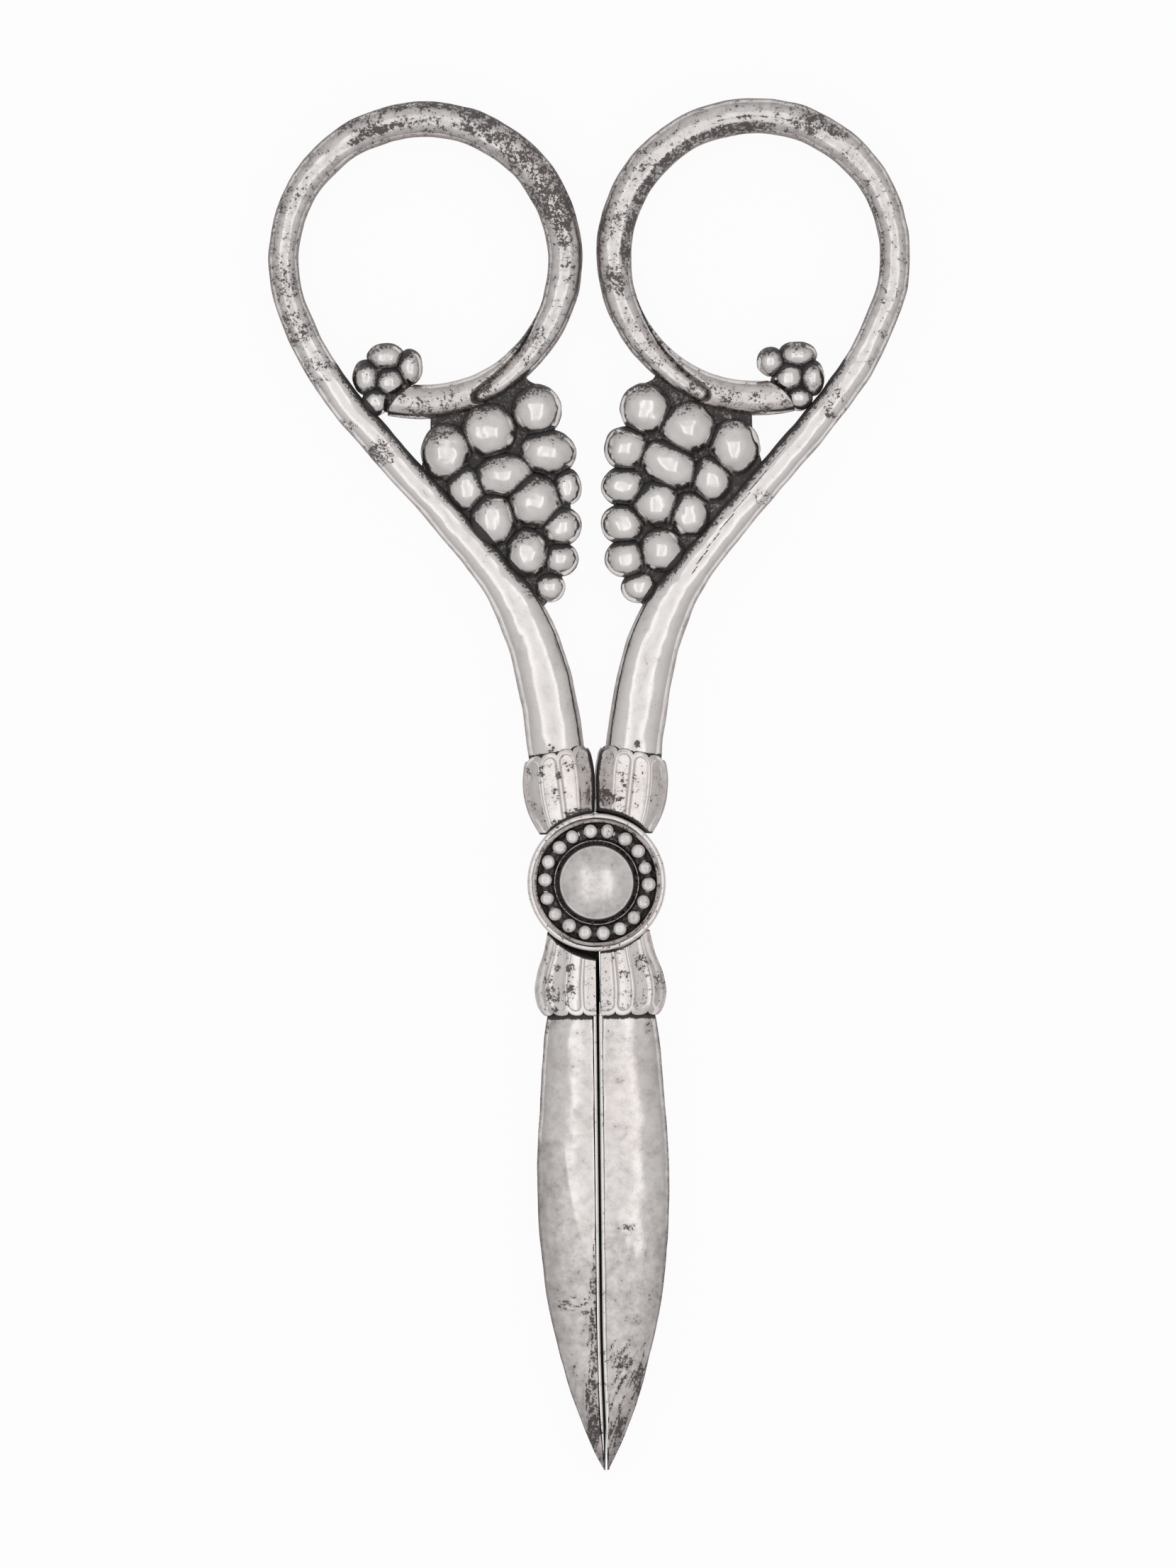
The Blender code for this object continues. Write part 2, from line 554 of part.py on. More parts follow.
def make_bow(side, face, pivot):
    name = "left_bow" if side == LEFT else "right_bow"
    bow = make_object(name, bow_body(side), SILVER, 0.28)
    cut(bow, upper_tang(side, face, SOLDER_SEAM))
    finish(bow, pivot)


def make_stem(side, pivot):
    name = "left_stem" if side == LEFT else "right_stem"
    stem = make_object(name, stem_body(side), SILVER, 0.32)
    cut(stem, bow_body(side, SOLDER_SEAM))
    finish(stem, pivot)


# Fruit

def make_grapes(side, pivot):
    """One bunch: grapes in the round on a flat web, trimmed to the rods that carry it."""
    name = "left_grapes" if side == LEFT else "right_grapes"
    table = LEFT_GRAPE_SHARES if side == LEFT else RIGHT_GRAPE_SHARES

    def place(across, down):
        return side * (BUNCH_X + BUNCH_WIDTH * across), BUNCH_TOP_Y - BUNCH_WIDTH * down

    outline = [place(across, down) for across, down in WEB_OUTLINE_SHARES]
    bunch = make_object(name, prism(outline, -WEB_DEPTH / 2, WEB_DEPTH / 2), OLD_SILVER, 0.33)
    for across, down, half_width, half_height, tilt in table:
        mean = BUNCH_WIDTH * (half_width + half_height) / 2
        depth = min(mean * GRAPE_FATNESS, BODY_DEPTH / 2)
        radii = (BUNCH_WIDTH * half_width, BUNCH_WIDTH * half_height, depth)
        centre = Vector(place(across, down) + (0,))
        join(bunch, ellipsoid(centre, radii, tilt))
    cut(bunch, room_outside_shank(side))
    cut(bunch, bow_body(side, SOLDER_SEAM))
    cut(bunch, stem_body(side, SOLDER_SEAM))
    finish(bunch, pivot, 50.0)


def make_berries(side, pivot):
    name = "left_berries" if side == LEFT else "right_berries"
    table = LEFT_BERRY_SHARES if side == LEFT else RIGHT_BERRY_SHARES
    middle = Vector((side * SPRIG_X, SPRIG_Y, 0))
    base_radii = (SPRIG_WIDTH * SPRIG_BASE_SHARES[0], SPRIG_WIDTH * SPRIG_BASE_SHARES[1],
                  SPRIG_BASE_DEPTH / 2)
    sprig = make_object(name, ellipsoid(middle, base_radii, 0, 12, 4), OLD_SILVER, 0.35)
    for away, up, half_width, half_height in table:
        centre = middle + Vector((side * SPRIG_WIDTH * away, SPRIG_WIDTH * up, 0))
        radii = (SPRIG_WIDTH * half_width, SPRIG_WIDTH * half_height, SPRIG_DEPTH / 2)
        join(sprig, ellipsoid(centre, radii))
    cut(sprig, bow_body(side, SOLDER_SEAM))
    cut(sprig, stem_body(side, SOLDER_SEAM))
    finish(sprig, pivot, 50.0)


# Collars

def fluted(outline, closed, share):
    """Raises flutes on an outline that has POINTS_PER_FLUTE points to a flute."""
    rise = FLUTE_RISE * smooth_value(FLUTE_RISE_SHARES, share)
    raised = []
    count = len(outline)
    for i, point in enumerate(outline):
        before = outline[i - 1] if closed or i > 0 else point
        after = outline[(i + 1) % count] if closed or i < count - 1 else point
        along = (after - before).normalized()
        lift = rise * (flute_wave(i) - 1)
        raised.append(point + Vector((along.y, -along.x)) * lift)
    return raised


def flute_wave(i):
    """0 in a groove and 1 on the crest of a flute."""
    return math.sin(math.pi * (i % POINTS_PER_FLUTE) / POINTS_PER_FLUTE)


def even_oval(half_width, half_depth, start, stop, count):
    """Points at equal distances along a superellipse, from one angle to another."""
    power = 2 / ROD_SQUARENESS
    fine = []
    for i in range(400 + 1):
        turn = direction(start + (stop - start) * i / 400)
        x = math.copysign(abs(turn.x) ** power, turn.x) * half_width
        y = math.copysign(abs(turn.y) ** power, turn.y) * half_depth
        fine.append(Vector((x, y)))
    run = [0.0]
    for a, b in zip(fine, fine[1:]):
        run.append(run[-1] + (b - a).length)
    points = []
    index = 0
    for k in range(count):
        target = run[-1] * k / (count - 1)
        while index < len(run) - 2 and run[index + 1] < target:
            index += 1
        part = (target - run[index]) / (run[index + 1] - run[index])
        points.append(fine[index].lerp(fine[index + 1], part))
    return points


def lug_clearance(face):
    """Cuts the round hollow of a collar: close to its own lug, clear of the other."""
    own = LUG_RADIUS + SOLDER_SEAM
    other = LUG_RADIUS + LUG_ARC_GAP
    deep = BODY_DEPTH / 2 + CUT_OVERRUN
    step = RUNNING_GAP / 2
    profile = [(0, -face * deep), (other, -face * deep), (other, face * step),
               (own, face * step), (own, face * deep), (0, face * deep)]
    return revolve(profile, LUG_SEGMENTS)


def make_upper_collar(side, face, pivot):
    name = "left_upper_collar" if side == LEFT else "right_upper_collar"
    count = UPPER_COLLAR_FLUTES * POINTS_PER_FLUTE
    height = UPPER_COLLAR_CROWN_Y - UPPER_COLLAR_FOOT_Y
    rings = []
    for share in COLLAR_STATION_SHARES:
        half_width = UPPER_COLLAR_WIDTH / 2 * smooth_value(UPPER_COLLAR_WIDTH_SHARES, share)
        half_depth = BODY_DEPTH / 2 * smooth_value(COLLAR_DEPTH_SHARES, share)
        oval = even_oval(half_width, half_depth, 0, 360, count + 1)[:-1]
        middle = collar_axis(UPPER_COLLAR_FOOT_Y + height * share)
        dip = CROWN_SCALLOP * max(0.0, share - 0.5) * 2
        ring = []
        for i, point in enumerate(fluted(oval, True, share)):
            y = middle.y - dip * (1 - flute_wave(i))
            ring.append(Vector((middle.x + point.x, y, point.y)))
        rings.append(ring)
    middle = collar_axis(UPPER_COLLAR_CROWN_Y - CROWN_SLOPE)
    inside = even_oval(SHANK_WIDTH / 2 - CROWN_INSET, SHANK_DEPTH / 2 - CROWN_INSET, 0, 360,
                       count + 1)[:-1]
    rings.append([Vector((middle.x + p.x, middle.y, p.y)) for p in inside])
    collar = make_object(name, loft([mirrored(ring, side) for ring in rings]), SILVER, 0.34)
    cut(collar, lug_clearance(face))
    cut(collar, bow_body(side, SOLDER_SEAM))
    cut(collar, upper_tang(side, face, SOLDER_SEAM))
    finish(collar, pivot, 28.0)


def make_lower_collar(side, face, pivot):
    """Half of a wide fluted barrel, flat on the side that meets the other half."""
    name = "left_lower_collar" if side == LEFT else "right_lower_collar"
    count = LOWER_COLLAR_FLUTES * POINTS_PER_FLUTE + 1
    seam = LOWER_COLLAR_SEAM_X + side * LOWER_COLLAR_GAP / 2
    height = LOWER_COLLAR_CROWN_Y - LOWER_COLLAR_FOOT_Y
    rings = []
    for share in COLLAR_STATION_SHARES:
        edge = LOWER_COLLAR_WIDTH / 2 * smooth_value(LOWER_COLLAR_WIDTH_SHARES, share)
        axis_x = LOWER_COLLAR_FOOT_X + (BLADE_AXIS_X - LOWER_COLLAR_FOOT_X) * share
        half_width = abs(axis_x + side * edge - seam)
        half_depth = BODY_DEPTH / 2 * smooth_value(COLLAR_DEPTH_SHARES, share)
        arc = even_oval(half_width, half_depth, -90, 90, count)
        y = LOWER_COLLAR_FOOT_Y + height * share
        dip = CROWN_SCALLOP * max(0.0, share - 0.5) * 2
        ring = []
        for i, point in enumerate(fluted(arc, False, share)):
            x = max(point.x, 0.0)
            ring.append(Vector((seam + side * x, y + dip * (1 - flute_wave(i)), point.y)))
        rings.append(ring)
    y = LOWER_COLLAR_CROWN_Y + CROWN_SLOPE
    reach = BLADE_WIDTH / 2 * BLADE_WIDTH_SHARES[0][1] - 2 * CROWN_INSET
    inside = even_oval(abs(BLADE_AXIS_X + side * reach - seam), BLADE_DEPTH / 2 - CROWN_INSET,
                       -90, 90, count)
    inner = seam + side * CROWN_INSET
    rings.append([Vector((inner + side * max(p.x, 0.0), y, p.y)) for p in inside])
    collar = make_object(name, loft(rings), SILVER, 0.34)
    cut(collar, lug_clearance(face))
    cut(collar, blade_root_body(side))
    cut(collar, lower_tang(side, face, SOLDER_SEAM))
    finish(collar, pivot, 28.0)


# Lugs

def make_lug(face, handle_side, pivot):
    """A round plate with two tangs; it turns under, or over, the lug of the other half."""
    name = "front_lug" if face == FRONT else "rear_lug"
    inner = RUNNING_GAP / 2
    outer = BODY_DEPTH / 2
    bore = RIVET_RADIUS + (RUNNING_GAP if face == FRONT else SOLDER_SEAM)
    profile = [(bore, inner), (LUG_RADIUS, inner), (LUG_RADIUS, outer - LUG_CHAMFER),
               (LUG_RADIUS - LUG_CHAMFER, outer)]
    if face == REAR:
        tail = RIVET_TAIL_RADIUS + SOLDER_SEAM
        profile += [(tail, outer), (bore, outer - RIVET_TAIL_DEPTH)]
    else:
        profile += [(bore, outer)]
    lug = make_object(name, revolve([(r, face * z) for r, z in profile], LUG_SEGMENTS),
                      SILVER, 0.3)
    join(lug, upper_tang(handle_side, face))
    join(lug, lower_tang(-handle_side, face))
    finish(lug, pivot, 30.0)


# Blades

def blade_y(share):
    return BLADE_ROOT_Y + (BLADE_TIP_Y - BLADE_ROOT_Y) * share


def blade_reach(share):
    return BLADE_WIDTH / 2 * smooth_value(BLADE_WIDTH_SHARES, share)


def blade_height(x, share):
    """Half depth of the leaf at a distance x from its axis."""
    across = min(1.0, abs(x - BLADE_AXIS_X) / blade_reach(share))
    crest = BLADE_DEPTH / 2 * smooth_value(BLADE_DEPTH_SHARES, share)
    return crest * (1 - across ** BLADE_ROUNDNESS) ** (1 / BLADE_ROUNDNESS)


def lap_x(side, z_side, share):
    """Where a blade's running face lies, on the +Z or the -Z side of the middle plane."""
    lap = BLADE_LAP * smooth_value(LAP_SHARES, share)
    return BLADE_AXIS_X - z_side * lap + side * BLADE_GAP / 2


def blade_ring(side, face, share, inset):
    """Section of one blade, set back by `inset` from its running faces."""
    y = blade_y(share)
    own_x = lap_x(side, face, share) + side * inset
    other_x = lap_x(side, -face, share) + side * inset
    step = face * (RUNNING_GAP / 2 + inset)
    edge = BLADE_AXIS_X + side * blade_reach(share)
    sweep = [math.sin(math.pi / 2 * k / BLADE_FACE_POINTS) for k in range(BLADE_FACE_POINTS)]
    own = [own_x + (edge - own_x) * s for s in sweep]
    other = [other_x + (edge - other_x) * s for s in reversed(sweep)]
    ring = [Vector((x, y, face * blade_height(x, share))) for x in own]
    ring.append(Vector((edge, y, 0)))
    ring += [Vector((x, y, -face * blade_height(x, share))) for x in other]
    ring += [Vector((other_x, y, step)), Vector((own_x, y, step))]
    return ring


def blade_root_body(side):
    """The blade's root, all round thicker by a seam, to hollow the collar over it."""
    seam = LOWER_COLLAR_SEAM_X + side * LOWER_COLLAR_GAP / 2
    inner = seam - side * CUT_OVERRUN
    rings = []
    for share in BLADE_STATION_SHARES[:3]:
        y = blade_y(share) + (SOLDER_SEAM if share == 0 else 0)
        edge = abs(BLADE_AXIS_X + side * blade_reach(share) - seam) + SOLDER_SEAM
        half_depth = BLADE_DEPTH / 2 * smooth_value(BLADE_DEPTH_SHARES, share) + SOLDER_SEAM
        arc = even_oval(edge, half_depth, -90, 90, SOCKET_POINTS)
        ring = [Vector((seam + side * p.x, y, p.y)) for p in arc]
        ring += [Vector((inner, y, half_depth)), Vector((inner, y, -half_depth))]
        rings.append(ring)
    return loft(rings)


def make_blade(side, face, pivot):
    name = "left_blade" if side == LEFT else "right_blade"
    setback = LINER_THICKNESS
    rings = [blade_ring(side, face, share,
                        setback * smooth_value(LINER_TIP_SHARES, share))
             for share in BLADE_STATION_SHARES]
    blade = make_object(name, loft(rings), SILVER, 0.26)
    cut(blade, lower_tang(side, face, SOLDER_SEAM))
    finish(blade, pivot, 40.0)


def make_liner(side, face, pivot):
    """A steel strip of Z section that lines the two edges and the step between them."""
    name = "left_cutting_liner" if side == LEFT else "right_cutting_liner"
    rings = []
    for share in BLADE_STATION_SHARES:
        y = blade_y(share)
        thickness = LINER_THICKNESS * smooth_value(LINER_TIP_SHARES, share) - SOLDER_SEAM
        own_x = lap_x(side, face, share)
        other_x = lap_x(side, -face, share)
        step = face * RUNNING_GAP / 2
        back = side * thickness
        top = face * blade_height(own_x + back, share)
        bottom = -face * blade_height(other_x + back, share)
        section = [(own_x, top), (own_x, step), (other_x, step), (other_x, bottom),
                   (other_x + back, bottom), (other_x + back, step + face * thickness),
                   (own_x + back, step + face * thickness), (own_x + back, top)]
        rings.append([Vector((x, y, z)) for x, z in section])
    liner = make_object(name, loft(rings), STEEL, 0.2)
    finish(liner, pivot, 30.0)


# Rosette and rivet

def make_rosette(pivot):
    bore = RIVET_RADIUS + RUNNING_GAP
    profile = [
        (bore, 0), (ROSETTE_RADIUS, 0), (ROSETTE_RADIUS, ROSETTE_EDGE_HEIGHT),
        (ROSETTE_RIM_RADIUS, ROSETTE_RIM_HEIGHT),
        (CHANNEL_OUTER_RADIUS, ROSETTE_RIM_HEIGHT - RUNNING_GAP),
        (CHANNEL_OUTER_RADIUS, CHANNEL_FLOOR), (CHANNEL_INNER_RADIUS, CHANNEL_FLOOR),
        (CHANNEL_INNER_RADIUS, BEZEL_HEIGHT - RUNNING_GAP),
        ((CHANNEL_INNER_RADIUS + BEZEL_RADIUS) / 2, BEZEL_HEIGHT),
        (BEZEL_RADIUS, BEZEL_HEIGHT - RUNNING_GAP), (BEZEL_RADIUS, DOME_SEAT_HEIGHT),
        (bore, DOME_SEAT_HEIGHT),
    ]
    washer = make_object("rosette_washer", revolve(profile, ROUND_SEGMENTS), SILVER, 0.36,
                         BODY_DEPTH + SOLDER_SEAM)
    finish(washer, pivot, 30.0)


def make_beads(pivot):
    """Beaded wire: a ring of round wire whose thickness swells into a bead 18 times."""
    pitch = 360 / BEAD_COUNT
    bead_degrees = math.degrees(BEAD_RADIUS / BEAD_CIRCLE_RADIUS)
    body = bmesh.new()
    rows = []
    for bead in range(BEAD_COUNT):
        stations = [(share * bead_degrees, BEAD_RADIUS * math.sqrt(1 - share ** 2))
                    for share in BEAD_STATION_SHARES]
        stations.append((pitch / 2, BEAD_WIRE_RADIUS))
        for offset, radius in stations:
            outward = direction(BEAD_PHASE + bead * pitch + offset)
            row = []
            for k in range(BEAD_SIDES):
                turn = direction(360 * (k + 0.5) / BEAD_SIDES)
                reach = BEAD_CIRCLE_RADIUS + radius * turn.x
                row.append(body.verts.new((outward.x * reach, outward.y * reach,
                                           radius * turn.y)))
            rows.append(row)
    for a, b in zip(rows, rows[1:] + rows[:1]):
        for k in range(BEAD_SIDES):
            j = (k + 1) % BEAD_SIDES
            body.faces.new((a[k], a[j], b[j], b[k]))
    lift = BODY_DEPTH + SOLDER_SEAM + CHANNEL_FLOOR + SOLDER_SEAM + BEAD_RADIUS
    beads = make_object("rosette_beads", body, SILVER, 0.3, lift)
    finish(beads, pivot, 60.0)


def make_rivet(pivot):
    """Fast in the rear lug; the front lug and the rosette turn on it under the dome."""
    seat = BODY_DEPTH + SOLDER_SEAM + DOME_SEAT_HEIGHT + RUNNING_GAP
    edge = seat + DOME_EDGE_HEIGHT
    profile = [(0, 0), (RIVET_TAIL_RADIUS, 0), (RIVET_RADIUS, RIVET_TAIL_DEPTH),
               (RIVET_RADIUS, seat), (DOME_RADIUS, seat)]
    for step in range(DOME_STEPS):
        turn = direction(90 * step / DOME_STEPS)
        profile.append((DOME_RADIUS * turn.x, edge + DOME_RISE * turn.y))
    profile.append((0, edge + DOME_RISE))
    rivet = make_object("pivot_rivet", revolve(profile, ROUND_SEGMENTS), SILVER, 0.22, 0.0)
    finish(rivet, pivot, 30.0)


# Assembly

def make_half(face, handle_side, pivot):
    """One half of the shears: a handle on one side and the blade on the other."""
    blade_side = -handle_side
    make_bow(handle_side, face, pivot)
    make_stem(handle_side, pivot)
    make_berries(handle_side, pivot)
    make_grapes(handle_side, pivot)
    make_upper_collar(handle_side, face, pivot)
    make_lug(face, handle_side, pivot)
    make_lower_collar(blade_side, face, pivot)
    make_blade(blade_side, face, pivot)
    make_liner(blade_side, face, pivot)


def make_pivot(name, parent=None):
    empty = bpy.data.objects.new(name, None)
    empty.empty_display_size = LUG_RADIUS
    empty.parent = parent
    bpy.context.collection.objects.link(empty)
    return empty


remove_everything()
rear_half = make_pivot("rear_half")
front_half = make_pivot("front_half", rear_half)
make_half(REAR, RIGHT, rear_half)
make_half(FRONT, LEFT, front_half)
make_rosette(front_half)
make_beads(front_half)
make_rivet(rear_half)
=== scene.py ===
import math

import bmesh
import bpy
import numpy as np
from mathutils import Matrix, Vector


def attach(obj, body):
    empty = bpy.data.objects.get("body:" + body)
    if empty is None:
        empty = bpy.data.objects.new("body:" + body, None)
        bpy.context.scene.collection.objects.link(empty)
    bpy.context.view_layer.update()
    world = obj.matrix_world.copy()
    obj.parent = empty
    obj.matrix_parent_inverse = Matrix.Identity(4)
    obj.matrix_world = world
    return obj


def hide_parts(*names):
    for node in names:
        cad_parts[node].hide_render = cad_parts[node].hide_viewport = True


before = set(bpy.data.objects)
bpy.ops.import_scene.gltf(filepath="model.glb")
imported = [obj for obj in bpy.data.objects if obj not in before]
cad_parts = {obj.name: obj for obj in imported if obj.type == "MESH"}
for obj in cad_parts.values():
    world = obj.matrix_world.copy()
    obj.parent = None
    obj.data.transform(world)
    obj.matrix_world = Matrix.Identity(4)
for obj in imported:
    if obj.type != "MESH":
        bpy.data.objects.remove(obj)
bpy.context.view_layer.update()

# The stage: a plain pale floor under the shears, a broad soft light straight above them, and
# an even light tent all round. Silver shows little but what it mirrors, so the soft light has
# brighter sides and a small dark spot where the lens looks through it.
MM = 0.001
VIEW_CENTRE = (-0.84 * MM, 11.09 * MM, 4.0 * MM)
VIEW_TURN = -0.66                # how far the shears lie turned in the picture, degrees
VIEW_HEIGHT = 176.96 * MM        # what the picture's long side spans at the shears
CAMERA_DISTANCE = 900 * MM
CAMERA_NEAR = 10 * MM            # nothing closer than this is drawn
SENSOR_WIDTH = 36.0              # of the camera's film, in its own millimetres
FLOOR_REACH = 3000 * MM
FLOOR_DROP = 0.02 * MM           # keeps the floor just clear of the shears' flat back
FLOOR_WHITE = (0.96, 0.96, 0.96, 1.0)
FLOOR_GLOW = 0.93                # share of the floor's white that is its own light
LIGHT_HEIGHT = 1250 * MM
LIGHT_REACH = 560 * MM
LIGHT_SHIFT = -75 * MM           # of the soft light, towards the blades
LIGHT_LEVELS = (1.04, 1.34)      # in the middle of the soft light and at its two sides
LIGHT_SIDES = (0.25 * LIGHT_REACH, 0.8 * LIGHT_REACH)    # where its sides start and are full
LENS_SPOT = 34 * MM
LENS_SPOT_CORE = 0.8 * LENS_SPOT
LENS_SPOT_LEVEL = 0.1
# The tent's light by height: 0.5 is level with the shears and 1 is straight above them.
TENT_LEVELS = ((0.50, 0.58), (0.53, 0.54), (0.62, 0.57), (0.74, 0.64), (0.88, 0.75), (1.0, 0.80))


def add_node(tree, kind, inputs=None, **settings):
    """Adds a node; an input given as a socket is linked, and any other is set."""
    made = tree.nodes.new(kind)
    for name, value in settings.items():
        setattr(made, name, value)
    for name, value in (inputs or {}).items():
        if isinstance(value, bpy.types.NodeSocket):
            tree.links.new(value, made.inputs[name])
        else:
            made.inputs[name].default_value = value
    return made


def maths(tree, operation, *values):
    inputs = {place: value for place, value in enumerate(values)}
    return add_node(tree, "ShaderNodeMath", inputs, operation=operation).outputs[0]


def ease(tree, value, start, end, first=0.0, last=1.0):
    """Runs smoothly from `first` to `last` while the value goes from start to end."""
    inputs = {"Value": value, "From Min": start, "From Max": end, "To Min": first, "To Max": last}
    return add_node(tree, "ShaderNodeMapRange", inputs, interpolation_type='SMOOTHSTEP').outputs[0]


def blend_colour(tree, share, first, second):
    inputs = {0: share, 6: first, 7: second}
    return add_node(tree, "ShaderNodeMix", inputs, data_type='RGBA').outputs[2]


def new_material(name):
    material = bpy.data.materials.new(name)
    material.use_nodes = True
    material.node_tree.nodes.clear()
    return material, material.node_tree


def make_stage():
    scene = bpy.context.scene
    scene.view_settings.view_transform = 'Standard'

    camera = bpy.data.objects.new("camera", bpy.data.cameras.new("camera"))
    camera.data.sensor_width = SENSOR_WIDTH
    camera.data.lens = SENSOR_WIDTH * CAMERA_DISTANCE / VIEW_HEIGHT
    camera.data.clip_start = CAMERA_NEAR
    camera.location = Vector(VIEW_CENTRE) + Vector((0, 0, CAMERA_DISTANCE))
    camera.rotation_euler = (0, 0, math.radians(VIEW_TURN))
    scene.collection.objects.link(camera)
    scene.camera = camera

    floor, tree = new_material("pale_floor")
    lit = add_node(tree, "ShaderNodeBsdfDiffuse", {"Color": FLOOR_WHITE}).outputs[0]
    glow = add_node(tree, "ShaderNodeEmission", {"Color": (1, 1, 1, 1), "Strength": 1.0}).outputs[0]
    path = add_node(tree, "ShaderNodeLightPath")
    seen = maths(tree, 'MAXIMUM', path.outputs["Is Camera Ray"], path.outputs["Is Glossy Ray"])
    seen = maths(tree, 'MAXIMUM', seen, path.outputs["Is Transmission Ray"])
    share = maths(tree, 'MULTIPLY', seen, FLOOR_GLOW)
    mixed = add_node(tree, "ShaderNodeMixShader", {0: share, 1: lit, 2: glow}).outputs[0]
    add_node(tree, "ShaderNodeOutputMaterial", {"Surface": mixed})

    soft, tree = new_material("soft_light")
    place = add_node(tree, "ShaderNodeTexCoord").outputs["Object"]
    across = add_node(tree, "ShaderNodeSeparateXYZ", {0: place}).outputs["X"]
    side = ease(tree, maths(tree, 'ABSOLUTE', across), *LIGHT_SIDES, *LIGHT_LEVELS)
    middle = add_node(tree, "ShaderNodeVectorMath", {0: place, 1: (0, -LIGHT_SHIFT, 0)},
                      operation='DISTANCE').outputs["Value"]
    spot = ease(tree, middle, LENS_SPOT_CORE, LENS_SPOT, LENS_SPOT_LEVEL)
    level = maths(tree, 'MULTIPLY', side, spot)
    glow = add_node(tree, "ShaderNodeEmission", {"Strength": level}).outputs[0]
    add_node(tree, "ShaderNodeOutputMaterial", {"Surface": glow})

    for name, reach, height, material in (("floor", FLOOR_REACH, -FLOOR_DROP, floor),
                                          ("soft_light", LIGHT_REACH, LIGHT_HEIGHT, soft)):
        mesh = bpy.data.meshes.new(name)
        corners = [(-reach, -reach, 0), (reach, -reach, 0), (reach, reach, 0), (-reach, reach, 0)]
        mesh.from_pydata(corners, [], [(0, 1, 2, 3)])
        mesh.materials.append(material)
        board = bpy.data.objects.new(name, mesh)
        board.location = (0, VIEW_CENTRE[1] + LIGHT_SHIFT if height > 0 else 0, height)
        board.visible_camera = height < 0
        scene.collection.objects.link(board)

    world = bpy.data.worlds.new("light_tent")
    world.use_nodes = True
    scene.world = world
    tree = world.node_tree
    tree.nodes.clear()
    way = add_node(tree, "ShaderNodeTexCoord").outputs["Generated"]
    height = add_node(tree, "ShaderNodeSeparateXYZ", {0: way}).outputs["Z"]
    ramp = add_node(tree, "ShaderNodeValToRGB", {0: maths(tree, 'MULTIPLY_ADD', height, 0.5, 0.5)})
    stops = ramp.color_ramp.elements
    while len(stops) < len(TENT_LEVELS):
        stops.new(0.5)
    for stop, (place, level) in zip(stops, TENT_LEVELS):
        stop.position = place
        stop.color = (level, level, level, 1)
    light = add_node(tree, "ShaderNodeBackground", {"Color": ramp.outputs[0]}).outputs[0]
    add_node(tree, "ShaderNodeOutputWorld", {"Surface": light})


make_stage()

# The two lugs: flat round plates of silver that turn on each other at the pivot. Each was cut
# and filed from plate with two tangs, which sit in a shank and a blade inside the collars.
BODY_DEPTH = 6.0 * MM
MID_Z = BODY_DEPTH / 2
RUNNING_GAP = 0.10 * MM
LUG_RADIUS = 7.8 * MM
LUG_BORE = 2.1 * MM
LUG_EDGE = 0.3 * MM              # radius of the plate's rounded rim
LUG_RIM_GRIME = 0.375
LUG_SHARP_ANGLE = math.radians(40)
TANG_WIDTH = 2.9 * MM
TANG_DEPTH = 1.5 * MM
TANG_LIFT = 0.2 * MM
UPPER_TANG = ((3.04, 3.6), (4.55, 16.0))    # ends of the bar's middle line in mm, right side
LOWER_TANG = ((2.79, -3.6), (2.79, -16.9))
TURNS = 144                      # steps round a turned piece
LEFT, RIGHT = -1, 1
FRONT, REAR = 1, -1
SILVER = (0.76, 0.735, 0.72, 1.0)
WARM_SILVER = (0.73, 0.67, 0.65, 1.0)
PATINA = (0.062, 0.056, 0.057, 1.0)
SPECK = (0.078, 0.066, 0.063, 1.0)
FILM = (0.36, 0.325, 0.318, 1.0)
EDGE_TINT = (0.55, 0.53, 0.525, 1.0)    # old silver mirrors less than new at a grazing look
MASKS = ("grime", "tarnish", "dull", "matt")


def group_tree(name, kind, inputs, outputs):
    """An empty node group with the named sockets, its input node and its output node."""
    tree = bpy.data.node_groups.new(name, kind)
    for title, socket, value in inputs:
        item = tree.interface.new_socket(title, in_out='INPUT', socket_type=socket)
        if value is not None:
            item.default_value = value
    for title, socket in outputs:
        tree.interface.new_socket(title, in_out='OUTPUT', socket_type=socket)
    return tree, add_node(tree, "NodeGroupInput").outputs, tree.nodes.new("NodeGroupOutput").inputs


